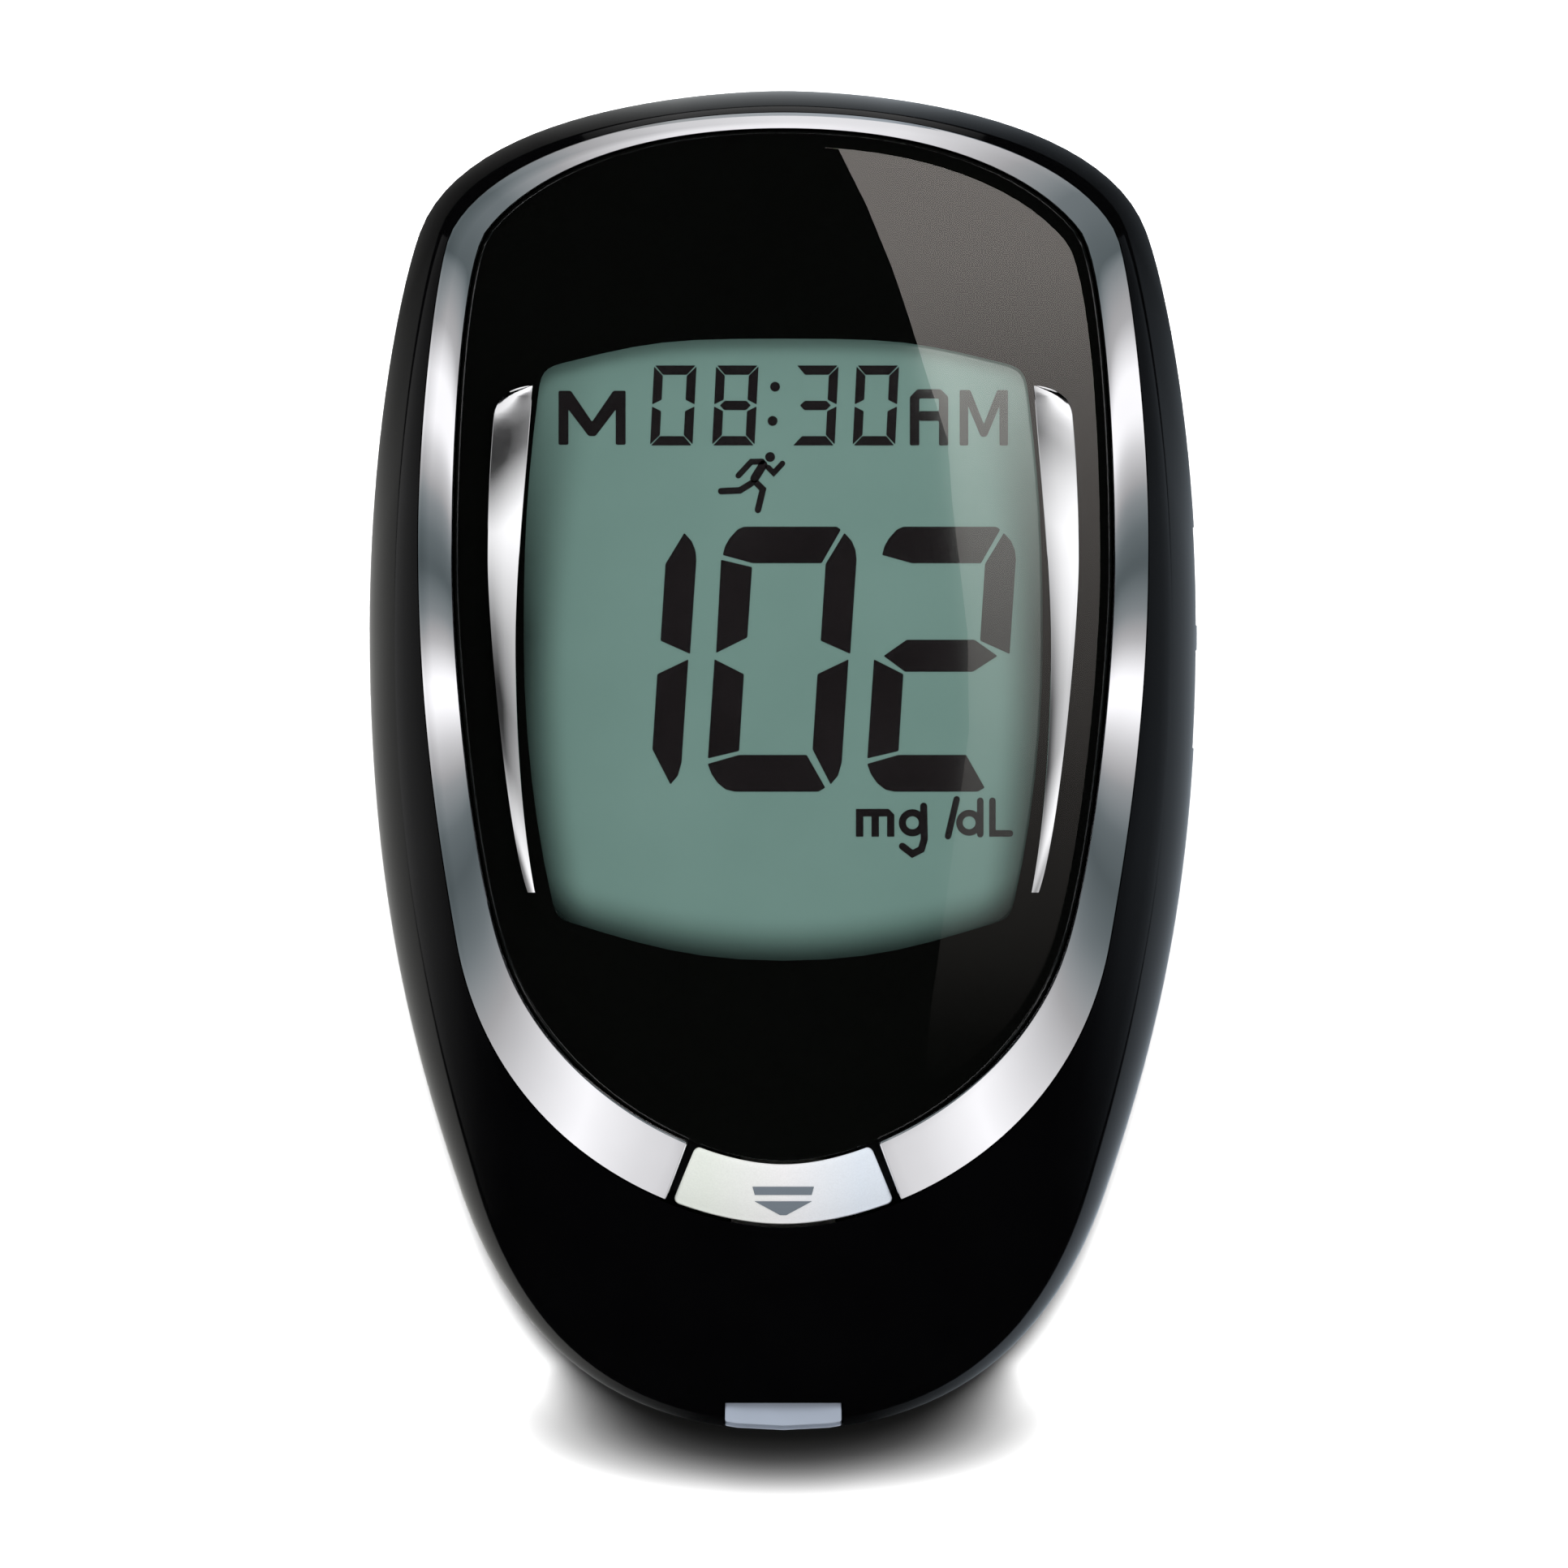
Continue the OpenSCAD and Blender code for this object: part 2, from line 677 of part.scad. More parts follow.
module side_switches() {
  color("#8a8d92") for (y = [key_up_y, key_down_y]) {
    block([switch_x, switch_x + switch_l], [y - 2.2, y + 2.2], [board_top, board_top + 1.8]);
    block([switch_x + switch_l - eps, key_back_x - 0.85 - key_travel], [y - 0.6, y + 0.6], [6.4, 7.2]);
  }
}

// Battery
module battery_holder() {
  color("#35373b") difference() {
    rod([0, cell_y], cell_d / 2 + 1.6, cell_z + 0.2, board_z);
    rod([0, cell_y], cell_d / 2 + 0.3, 0, body_t);
    block([8, 14], [cell_y - 3, cell_y + 3], [0, body_t]);
    block([-4, 4], [cell_y - 14, cell_y - 8], [0, cell_z + 1.4]);
  }
}

module coin_cell() {
  r = cell_d / 2;
  color("#c4c7cb") translate([0, cell_y, cell_z]) rotate_extrude($fn = 64)
    polygon([[0, 0], [r - 0.4, 0], [r, 0.4], [r, cell_h - 0.7], [r - 0.5, cell_h - 0.4],
      [r - 1.4, cell_h - 0.4], [r - 1.7, cell_h], [0, cell_h]]);
}

module battery_contact_top() {
  z = cell_z + cell_h;
  color(gold) {
    block([-4, 4], [cell_y - 1.5, cell_y + 1.5], [z, board_z]);
    block([-1.5, 1.5], [cell_y - 4, cell_y + 4], [z, board_z]);
  }
}

module battery_contact_side() {
  r = cell_d / 2;
  color(gold) {
    block([r + 0.02, r + 0.3], [cell_y - 2, cell_y + 2], [cell_z + 0.4, board_z]);
    block([r + 0.02, r + 2.2], [cell_y - 2, cell_y + 2], [board_z - 0.25, board_z]);
  }
}

module battery_door() {
  half = door_w / 2;
  top = door_z + door_h;
  color(gloss_black) difference() {
    union() {
      block([-half, half], [door_low_y, hinge_y], [door_z, top]);
      translate([-half, hinge_y, hinge_z]) rotate([0, 90, 0])
        cylinder(h = door_w, r = barrel_r, $fn = 48);
      translate([-half - 1.4, hinge_y, hinge_z]) rotate([0, 90, 0])
        cylinder(h = door_w + 2.8, r = pin_r, $fn = 32);
    }
    // Grip grooves at the free end
    for (i = [0 : 3])
      block([-6, 6], [door_low_y + 2 + 1.2 * i, door_low_y + 2.6 + 1.2 * i], [0, door_z + 0.3]);
  }
}

// Fasteners
module screw(p, r, h, shank, low, high) {
  difference() {
    union() {
      rod(p, r, low, low + h);
      rod(p, shank, low + h - eps, high);
    }
    translate([p[0], p[1], low]) {
      cube([r * 1.2, 0.35, h], center = true);
      cube([0.35, r * 1.2, h], center = true);
    }
  }
}

module case_screws() {
  color("silver") for (p = screw_at)
    screw(p, head_r, head_h, shank_r - 0.02, head_seat - head_h, 10.6);
}

module board_screws() {
  color("silver") for (p = post_at)
    screw(p, 1.5, 0.8, 0.78, board_z - 0.8, 9.6);
}

module rating_label() {
  color("#d5d6d8") block([-label_x, label_x], [label_low_y, label_high_y], [0.03, label_recess]);
}

top_case();
back_case();
trim_ring();
display_window();
window_mask();
window_adhesive();
accent_left();
accent_right();
display_frame();
lcd_polariser();
lcd_front_glass();
lcd_rear_glass();
lcd_reflector();
lcd_carrier();
connector_upper();
connector_lower();
main_board();
processor_chip();
signal_chip();
timing_crystal();
chip_capacitors();
chip_resistors();
piezo_buzzer();
strip_port_guide();
strip_connector();
strip_contacts();
strip_ejector();
ejector_spring();
eject_button();
side_key_up();
side_key_down();
side_switches();
battery_holder();
coin_cell();
battery_contact_top();
battery_contact_side();
battery_door();
case_screws();
board_screws();
rating_label();
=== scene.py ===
import json
import math

import bmesh
import bpy
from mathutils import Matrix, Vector

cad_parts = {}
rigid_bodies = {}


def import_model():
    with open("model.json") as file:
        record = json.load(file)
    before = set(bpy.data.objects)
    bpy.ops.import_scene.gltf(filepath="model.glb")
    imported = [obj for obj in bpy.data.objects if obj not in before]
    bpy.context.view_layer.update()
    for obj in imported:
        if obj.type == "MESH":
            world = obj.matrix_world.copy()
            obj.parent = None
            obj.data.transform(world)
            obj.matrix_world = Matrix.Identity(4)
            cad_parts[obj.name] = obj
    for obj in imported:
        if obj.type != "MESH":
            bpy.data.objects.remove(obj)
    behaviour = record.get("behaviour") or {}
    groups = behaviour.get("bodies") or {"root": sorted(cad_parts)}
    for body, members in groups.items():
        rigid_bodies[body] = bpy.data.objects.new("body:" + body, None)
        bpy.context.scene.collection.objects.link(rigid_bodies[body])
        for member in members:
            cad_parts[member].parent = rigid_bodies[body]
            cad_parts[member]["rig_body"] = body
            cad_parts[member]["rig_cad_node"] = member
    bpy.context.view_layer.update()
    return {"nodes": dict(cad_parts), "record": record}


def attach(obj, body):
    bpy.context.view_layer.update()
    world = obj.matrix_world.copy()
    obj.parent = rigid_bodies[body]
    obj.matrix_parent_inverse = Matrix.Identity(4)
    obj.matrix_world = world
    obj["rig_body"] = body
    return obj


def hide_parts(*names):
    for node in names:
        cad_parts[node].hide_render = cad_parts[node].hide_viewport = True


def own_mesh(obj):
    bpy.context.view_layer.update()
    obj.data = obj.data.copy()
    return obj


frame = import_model()
MM = 0.001  # every length below is in millimetres, and this turns it into metres

# Half outlines of the meter, from the top centre to the bottom centre: x, y, heading in
# degrees, and the lengths of the curve handles before and after the point.
BODY = [(0, 43.7, 0, 0, 5), (23.7, 34.5, -70, 8.5, 4), (27, 8.6, -90, 12, 16),
        (21, -28.2, -109, 11, 8.5), (0, -43.7, -180, 12.5, 0)]
RING_OUTER = [(0, 42.2, 0, 0, 10), (21.6, 34.5, -61, 5.5, 2), (23.8, 14.2, -90, 7.5, 11),
              (21.3, -11.8, -100, 6.5, 13.5), (0, -30.3, -180, 7, 0)]
RING_INNER = [(0, 41.1, 0, 0, 11.5), (19.3, 34.4, -53, 3.5, 2), (21.5, 12.6, -90, 11.5, 5.5),
              (18, -13.2, -111, 6.5, 8.5), (0, -26.2, -180, 6, 0)]
CRESCENT_OUTER = [(16.3, 24.4, -6, 0, 1), (18.83, 22.4, -85, 1.6, 3), (19.25, 13, -90, 3, 4),
                  (16.62, -8.6, -110, 4, 0)]
CRESCENT_INNER = [(16.3, 24.4, -86, 0, 5), (17.4, 7.4, -90, 5, 5), (16.12, -8.75, -101, 5, 0)]

MID_Y = 5
CROWN_Z = 17.5
SEAM_Z = 7
SEAT_Z = 13
CURVE_STEPS = 24
KEY_ROWS = (12, 4)
KEY_CUT_HALF = 3.2
SCREWS = ((18.5, 31.5), (-18.5, 31.5), (12.5, -31), (-12.5, -31))
BOSS_R, BORE_R = 2.4, 1

# Upper shell: its wall, the ledge under the ring, and its dome, which ends short of upright
WALL, LEDGE_IN, LEDGE_H = 1.5, 0.5, 1.2
DOME_END, DOME_STEPS, INSIDE_STEPS = 72, 24, 8

# Ends of the ring and of the button between them: x on the inner and on the outer outline
RING_END = (6.2, 7.65)
BUTTON_END = (5.7, 7.2)
STEM_HALF = 2.2
PORT_HALF = 3.9


# Outlines

def curve_point(a, b, t):
    s = 1 - t
    ha, hb = math.radians(a[2]), math.radians(b[2])
    p1 = (a[0] + a[4] * math.cos(ha), a[1] + a[4] * math.sin(ha))
    p2 = (b[0] - b[3] * math.cos(hb), b[1] - b[3] * math.sin(hb))
    return [s ** 3 * a[k] + 3 * s * s * t * p1[k] + 3 * s * t * t * p2[k] + t ** 3 * b[k]
            for k in (0, 1)]


def along(path, u):
    k = min(int(u), len(path) - 2)
    return curve_point(path[k], path[k + 1], u - k)


def bearing(p):
    """Angle of a point clockwise from +Y about the middle of the display."""
    return math.degrees(math.atan2(abs(p[0]), p[1] - MID_Y))


def at_bearing(path, angle):
    """The point of a half outline, or of its mirror image, at that bearing."""
    angle %= 360
    low, high = 0.0, len(path) - 1.0
    for _ in range(32):
        mid = (low + high) / 2
        if bearing(along(path, mid)) < min(angle, 360 - angle):
            low = mid
        else:
            high = mid
    p = along(path, mid)
    return (p[0] if angle <= 180 else -p[0], p[1])


def bearings():
    half = [bearing(along(BODY, i / CURVE_STEPS)) for i in range(4 * CURVE_STEPS)]
    return half + [180.0] + [360 - a for a in reversed(half[1:])]


ALL_ROUND = bearings()


def outline(path):
    return [at_bearing(path, a) for a in ALL_ROUND]


def grown(points, d):
    """The outline moved outwards by d."""
    result = []
    for i, p in enumerate(points):
        a, b = points[i - 1], points[(i + 1) % len(points)]
        tx, ty = b[0] - a[0], b[1] - a[1]
        size = math.hypot(tx, ty)
        result.append((p[0] - d * ty / size, p[1] + d * tx / size))
    return result


def mix(a, b, t):
    """The point a share t of the way from a to b."""
    return tuple(x * (1 - t) + y * t for x, y in zip(a, b))


def face_z(p):
    """Height of the bowed window face."""
    return CROWN_Z - 0.0016 * p[0] ** 2 - 0.0013 * (p[1] - MID_Y) ** 2


def end_bearing(path, x):
    """How far round from the bottom the path has that x."""
    low, high = 3.0, 4.0
    for _ in range(32):
        mid = (low + high) / 2
        low, high = (mid, high) if along(path, mid)[0] > x else (low, mid)
    return 180 - bearing(along(path, mid))


# Modelling

def deselect():
    if bpy.context.object and bpy.context.object.mode != "OBJECT":
        bpy.ops.object.mode_set(mode="OBJECT")
    bpy.ops.object.select_all(action="DESELECT")


def pick(piece):
    deselect()
    piece.select_set(True)
    bpy.context.view_layer.objects.active = piece


def named(name):
    piece = bpy.context.object
    piece.name = piece.data.name = name
    return piece


def put(piece, ring, points):
    """Moves the selected loop, extruded from ring, onto its points and returns it in order."""
    mesh = bmesh.from_edit_mesh(piece.data)
    mesh.verts.index_update()
    mesh.verts.ensure_lookup_table()
    new = []
    for index, point in zip(ring, points):
        old = mesh.verts[index]
        vert = old if old.select else next(
            e.other_vert(old) for e in old.link_edges if e.other_vert(old).select)
        vert.co = Vector(point) * MM
        new.append(vert.index)
    bmesh.update_edit_mesh(piece.data)
    return new


def choose(piece, *rings):
    """Selects only those loops of vertices."""
    bpy.ops.mesh.select_all(action="DESELECT")
    mesh = bmesh.from_edit_mesh(piece.data)
    mesh.verts.ensure_lookup_table()
    for ring in rings:
        for index in ring:
            mesh.verts[index].select = True
    mesh.select_flush_mode()
    bmesh.update_edit_mesh(piece.data)


def tidy_mesh():
    bpy.ops.mesh.select_all(action="SELECT")
    bpy.ops.mesh.remove_doubles(threshold=0.0005 * MM)
    bpy.ops.mesh.normals_make_consistent(inside=False)
    bpy.ops.object.mode_set(mode="OBJECT")


def loft(name, loops, low=True, high=True, joined=False):
    """Extrudes a circle from each loop of points to the next. The ends are filled, or drawn
    to a point given as high, or joined to each other."""
    deselect()
    bpy.ops.mesh.primitive_circle_add(vertices=len(loops[0]), radius=MM, enter_editmode=True)
    piece = named(name)
    bpy.ops.mesh.select_mode(type="VERT")
    bpy.ops.mesh.select_all(action="SELECT")
    first = ring = put(piece, range(len(loops[0])), loops[0])
    for loop in loops[1:]:
        bpy.ops.mesh.extrude_edges_indiv()
        ring = put(piece, ring, loop)
    if joined:
        choose(piece, first, ring)
        bpy.ops.mesh.bridge_edge_loops()
    else:
        if isinstance(high, tuple):
            bpy.ops.mesh.extrude_edges_indiv()
            put(piece, ring, [high] * len(ring))
        elif high:
            bpy.ops.mesh.edge_face_add()
        if low:
            choose(piece, first)
            bpy.ops.mesh.edge_face_add()
    tidy_mesh()
    return piece


def slab(name, points, low, high):
    return loft(name, [[(x, y, low) for x, y in points], [(x, y, high) for x, y in points]])


def block(name, x, y, z):
    return slab(name, [(x[0], y[0]), (x[1], y[0]), (x[1], y[1]), (x[0], y[1])], *z)


def rod(name, at, radius, low, high):
    deselect()
    bpy.ops.mesh.primitive_cylinder_add(
        vertices=48, radius=radius * MM, depth=(high - low) * MM,
        location=(at[0] * MM, at[1] * MM, (low + high) / 2 * MM))
    bpy.ops.object.transform_apply(location=True, rotation=True, scale=True)
    return named(name)


def apply_new(piece, kind, **settings):
    pick(piece)
    modifier = piece.modifiers.new("step", kind)
    for key, value in settings.items():
        setattr(modifier, key, value)
    bpy.ops.object.modifier_apply(modifier="step")
    return piece


def carve(piece, *tools, operation="DIFFERENCE"):
    for tool in tools:
        apply_new(piece, "BOOLEAN", object=tool, operation=operation, solver="EXACT")
        bpy.data.objects.remove(tool)
    return piece


def soften(piece, width):
    return apply_new(piece, "BEVEL", width=width * MM, segments=2,
                     limit_method="ANGLE", angle_limit=math.radians(30))


def smooth(piece, angle=32, weighted=False):
    pick(piece)
    bpy.ops.object.shade_smooth_by_angle(angle=math.radians(angle))
    if weighted:
        apply_new(piece, "WEIGHTED_NORMAL", keep_sharp=True)
    return piece


def join(name, *pieces):
    pick(pieces[0])
    for piece in pieces:
        piece.select_set(True)
    bpy.ops.object.join()
    return named(name)


def node_copy(name, node):
    """A merged copy of a CAD node, with its own mesh."""
    pick(frame["nodes"][node])
    bpy.ops.object.duplicate()
    piece = named(name)
    piece.parent = None
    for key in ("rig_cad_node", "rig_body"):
        del piece[key]
    bpy.ops.object.mode_set(mode="EDIT")
    bpy.ops.mesh.select_all(action="SELECT")
    bpy.ops.mesh.remove_doubles(threshold=0.002 * MM)
    bpy.ops.mesh.dissolve_limited(angle_limit=math.radians(0.5))
    bpy.ops.object.mode_set(mode="OBJECT")
    return piece


def plates(name, shapes, low, thickness, corner=0.0):
    """Thin flat shapes, each filled from its outline, with their corners rounded."""
    deselect()
    for number, shape in enumerate(shapes):
        area = sum(shape[i - 1][0] * p[1] - p[0] * shape[i - 1][1] for i, p in enumerate(shape))
        shape = shape if area > 0 else shape[::-1]
        bpy.ops.mesh.primitive_circle_add(vertices=len(shape), radius=MM, fill_type="NGON",
                                          enter_editmode=number == 0)
        piece = bpy.context.object
        mesh = bmesh.from_edit_mesh(piece.data)
        for vert, p in zip([v for v in mesh.verts if v.select], shape):
            vert.co = Vector((p[0], p[1], low)) * MM
        bmesh.update_edit_mesh(piece.data)
    named(name)
    bpy.ops.mesh.select_all(action="SELECT")
    if corner:
        bpy.ops.mesh.bevel(offset=corner * MM, segments=3, affect="VERTICES")
    bpy.ops.object.mode_set(mode="OBJECT")
    return apply_new(piece, "SOLIDIFY", thickness=thickness * MM, offset=1)


# Finishes

def new_finish(name):
    made = bpy.data.materials.new(name)
    made.use_nodes = True
    return made, made.node_tree, made.node_tree.nodes["Principled BSDF"]


def add(tree, kind, inputs=(), **settings):
    """Adds a shader node. Inputs pairs a socket's name or number with a value or a link."""
    made = tree.nodes.new(kind)
    for key, value in settings.items():
        setattr(made, key, value)
    for key, value in inputs:
        if isinstance(value, bpy.types.NodeSocket):
            tree.links.new(value, made.inputs[key])
        else:
            made.inputs[key].default_value = value
    return made


def linear(r, g, b):
    """A screen colour from 0 to 255 as the shader wants it."""
    return tuple((c / 255 / 12.92 if c <= 10 else ((c / 255 + 0.055) / 1.055) ** 2.4)
                 for c in (r, g, b)) + (1.0,)


def sums(tree, operation, a, b):
    return add(tree, "ShaderNodeMath", [(0, a), (1, b)], operation=operation).outputs[0]


def place_of(tree):
    return add(tree, "ShaderNodeTexCoord").outputs["Object"]


def clouds(tree, size, detail=2.0):
    """Soft noise whose patches are about size millimetres across."""
    return add(tree, "ShaderNodeTexNoise",
               [("Vector", place_of(tree)), ("Scale", 1 / (size * MM)), ("Detail", detail)])


def spread(tree, value, low, high):
    """Spreads noise over a range."""
    return add(tree, "ShaderNodeMapRange",
               [("Value", value), ("From Min", 0.3), ("From Max", 0.7), ("To Min", low),
                ("To Max", high)]).outputs[0]


def two_tone(tree, value, dark, light):
    return add(tree, "ShaderNodeMix", [("Factor", value), (6, dark), (7, light)],
               data_type="RGBA").outputs[2]


def grain(tree, shader, size, height):
    bump = add(tree, "ShaderNodeBump",
               [("Height", clouds(tree, size).outputs[0]), ("Distance", height * MM),
                ("Strength", 1.0)])
    tree.links.new(bump.outputs[0], shader.inputs["Normal"])


def moulded(name, colour, rough=0.35, size=0.25, height=0.006, tone=0.08, gloss=0.5):
    """Plastic, rubber or card with its fine grain and a slightly uneven tone."""
    made, tree, shader = new_finish(name)
    base = linear(*colour)
    dark = tuple(c * (1 - tone) for c in base[:3]) + (1.0,)
    tone_at = spread(tree, clouds(tree, 4).outputs[0], 0, 1)
    tree.links.new(two_tone(tree, tone_at, dark, base), shader.inputs["Base Color"])
    tree.links.new(spread(tree, clouds(tree, 1.5, 3).outputs[0], rough * 0.85, rough * 1.15),
                   shader.inputs["Roughness"])
    shader.inputs["Specular IOR Level"].default_value = gloss
    if height:
        grain(tree, shader, size, height)
    return made


def clear_window(name):
    """Hard clear acrylic. Lamps and soft light go straight through to the display."""
    made, tree, shader = new_finish(name)
    shader.inputs["Base Color"].default_value = (1, 1, 1, 1)
    shader.inputs["IOR"].default_value = 1.49
    shader.inputs["Transmission Weight"].default_value = 1.0
    shader.inputs["Roughness"].default_value = 0.0
    path = add(tree, "ShaderNodeLightPath")
    passing = sums(tree, "MAXIMUM", path.outputs["Is Shadow Ray"], path.outputs["Is Diffuse Ray"])
    clear = add(tree, "ShaderNodeBsdfTransparent")
    both = add(tree, "ShaderNodeMixShader",
               [(0, passing), (1, shader.outputs[0]), (2, clear.outputs[0])])
    tree.links.new(both.outputs[0], tree.nodes["Material Output"].inputs["Surface"])
    return made


def polished(name, colour, rough):
    """Bright plating with a faint unevenness."""
    made, tree, shader = new_finish(name)
    shader.inputs["Metallic"].default_value = 1.0
    tone = spread(tree, clouds(tree, 5).outputs[0], 0, 1)
    base = linear(*colour)
    tree.links.new(two_tone(tree, tone, tuple(c * 0.96 for c in base[:3]) + (1.0,), base),
                   shader.inputs["Base Color"])
    tree.links.new(spread(tree, clouds(tree, 0.6, 4).outputs[0], rough * 0.85, rough * 1.15),
                   shader.inputs["Roughness"])
    return made


def display_film(name):
    """Grey-green film of the display. Its gloss bows with the window above it. Its colour carries a
    painted shade towards the sides and the foot, standing for the shadow of the mask over it, and this
    fades out towards the top."""
    made, tree, shader = new_finish(name)
    axes = add(tree, "ShaderNodeSeparateXYZ", [(0, place_of(tree))]).outputs
    tone = spread(tree, clouds(tree, 9).outputs[0], 0, 1)
    base = two_tone(tree, tone, linear(113, 144, 136), linear(117, 148, 140))
    x2 = sums(tree, "MULTIPLY", axes[0], axes[0])
    y = sums(tree, "SUBTRACT", axes[1], MID_Y * MM)
    y2 = sums(tree, "MULTIPLY", y, y)

    # Painted shade: a smooth darkening of the film's colour near the edges of the opening
    def painted_edge_shade(distance, least):
        return add(tree, "ShaderNodeMapRange",
                   [("Value", distance), ("From Min", -0.4 * MM), ("From Max", 3 * MM),
                    ("To Min", least), ("To Max", 1.0)], interpolation_type="SMOOTHSTEP").outputs[0]
    half = sums(tree, "SUBTRACT", 16.8 * MM, sums(tree, "MULTIPLY", y2, 7.0))
    aside = sums(tree, "SUBTRACT", half, sums(tree, "ABSOLUTE", axes[0], 0.0))
    above = sums(tree, "SUBTRACT", sums(tree, "ADD", axes[1], 13 * MM),
                 sums(tree, "MULTIPLY", x2, 12.9))
    fading = add(tree, "ShaderNodeMapRange",
                 [("Value", axes[1]), ("From Min", 8 * MM), ("From Max", 25 * MM),
                  ("To Min", 0.12), ("To Max", 0.9)]).outputs[0]
    # Painted shadow of the mask: the film's colour is multiplied darker near the sides and the foot,
    # least at the top
    depth = sums(tree, "MULTIPLY", painted_edge_shade(aside, fading), painted_edge_shade(above, 0.12))
    shade = add(tree, "ShaderNodeMix", [("Factor", 1.0), (6, base), (7, depth)],
                data_type="RGBA", blend_type="MULTIPLY").outputs[2]
    tree.links.new(shade, shader.inputs["Base Color"])
    under_film(tree, shader, x2, y2)
    return made


def under_film(tree, shader, x2, y2):
    """Gloss of the display's top film, bowed like the window."""
    shader.inputs["Roughness"].default_value = 0.06
    shader.inputs["Specular IOR Level"].default_value = 0.8
    shader.inputs["Specular Tint"].default_value = (0.88, 1.0, 1.0, 1)
    bow = sums(tree, "ADD", sums(tree, "MULTIPLY", x2, -2.4), sums(tree, "MULTIPLY", y2, -1.94))
    bump = add(tree, "ShaderNodeBump", [("Height", bow), ("Distance", 1.0), ("Strength", 1.0)])
    tree.links.new(bump.outputs[0], shader.inputs["Normal"])


def display_ink(name):
    """Dark ink of the lit segments, under the same film."""
    made, tree, shader = new_finish(name)
    axes = add(tree, "ShaderNodeSeparateXYZ", [(0, place_of(tree))]).outputs
    tone = spread(tree, clouds(tree, 5).outputs[0], 0, 1)
    ink = two_tone(tree, tone, linear(27, 24, 25), linear(32, 29, 30))
    tree.links.new(ink, shader.inputs["Base Color"])
    y = sums(tree, "SUBTRACT", axes[1], MID_Y * MM)
    under_film(tree, shader, sums(tree, "MULTIPLY", axes[0], axes[0]), sums(tree, "MULTIPLY", y, y))
    return made


def pearl(name):
    """Pearl white under clear lacquer, with a painted sheen: greenish to the left, lightest in the middle
    and bluish to the right.
    """
    made, tree, shader = new_finish(name)
    axes = add(tree, "ShaderNodeSeparateXYZ", [(0, place_of(tree))]).outputs
    # Painted sheen: the colour runs from greenish on the left through a lighter middle to bluish on the
    # right, by position on the button
    side = add(tree, "ShaderNodeMapRange",
               [("Value", axes[0]), ("From Min", -5 * MM), ("From Max", 5 * MM)]).outputs[0]
    ramp = add(tree, "ShaderNodeValToRGB", [(0, side)])
    stops = ramp.color_ramp.elements
    stops[0].color, stops[1].color = linear(241, 246, 238), linear(234, 242, 252)
    stops.new(0.5).color = linear(250, 249, 250)
    fleck = spread(tree, clouds(tree, 0.12, 3).outputs[0], 0.94, 1.0)
    shade = add(tree, "ShaderNodeMix", [("Factor", 1.0), (6, ramp.outputs[0]), (7, fleck)],
                data_type="RGBA", blend_type="MULTIPLY").outputs[2]
    tree.links.new(shade, shader.inputs["Base Color"])
    tree.links.new(spread(tree, clouds(tree, 2).outputs[0], 0.28, 0.36), shader.inputs["Roughness"])
    shader.inputs["Coat Weight"].default_value = 0.6
    shader.inputs["Coat Roughness"].default_value = 0.08
    return made


FINISH = {
    "gloss_shell": moulded("gloss_shell", (5, 5, 6), rough=0.08, size=3, height=0.0015, tone=0.2),
    "door_gloss": moulded("door_gloss", (8, 8, 9), rough=0.14, size=3, height=0.0015, tone=0.2),
    "ring_chrome": polished("ring_chrome", (248, 249, 252), 0.05),
    "inlay_chrome": polished("inlay_chrome", (249, 249, 251), 0.04),
    "clear_window": clear_window("clear_window"),
    "black_print": moulded("black_print", (6, 7, 6), rough=0.6, size=0.2, height=0.001, gloss=0.02),
    "adhesive": moulded("adhesive", (58, 60, 64), rough=0.7),
    "chassis_plastic": moulded("chassis_plastic", (35, 36, 39), rough=0.5),
    "lcd_film": display_film("lcd_film"),
    "lcd_glass": moulded("lcd_glass", (104, 133, 124), rough=0.05, height=0),
    "lcd_backing": moulded("lcd_backing", (185, 196, 189), rough=0.4),
    "lcd_segment": display_ink("lcd_segment"),
    "carrier_plastic": moulded("carrier_plastic", (216, 218, 214), rough=0.5),
    "connector_rubber": moulded("connector_rubber", (201, 143, 146), rough=0.75),
    "board_laminate": moulded("board_laminate", (31, 92, 58), rough=0.35, size=0.15, tone=0.15),
    "chip_epoxy": moulded("chip_epoxy", (32, 33, 36), rough=0.6, size=0.08),
    "crystal_can": polished("crystal_can", (205, 206, 208), 0.3),
    "capacitor_body": moulded("capacitor_body", (181, 138, 90), rough=0.55),
    "resistor_body": moulded("resistor_body", (27, 27, 30), rough=0.55),
    "buzzer_case": moulded("buzzer_case", (26, 26, 28), rough=0.45),
    "port_grey": moulded("port_grey", (172, 182, 198), rough=0.4, size=0.2, height=0.004),
    "connector_nylon": moulded("connector_nylon", (228, 228, 222), rough=0.45),
    "contact_gold": polished("contact_gold", (230, 190, 100), 0.22),
    "slider_acetal": moulded("slider_acetal", (217, 217, 212), rough=0.4),
    "spring_steel": polished("spring_steel", (196, 198, 202), 0.25),
    "pearl_button": pearl("pearl_button"),
    "button_mark": moulded("button_mark", (122, 132, 142), rough=0.4, height=0.001),
    "key_plastic": moulded("key_plastic", (34, 35, 38), rough=0.3, height=0.003),
    "switch_body": moulded("switch_body", (138, 141, 146), rough=0.45),
    "holder_plastic": moulded("holder_plastic", (53, 55, 59), rough=0.5),
    "cell_steel": polished("cell_steel", (214, 216, 220), 0.24),
    "contact_nickel": polished("contact_nickel", (220, 208, 176), 0.24),
    "screw_steel": polished("screw_steel", (160, 162, 166), 0.3),
    "label_film": moulded("label_film", (212, 214, 216), rough=0.5, size=0.3, tone=0.03),
}


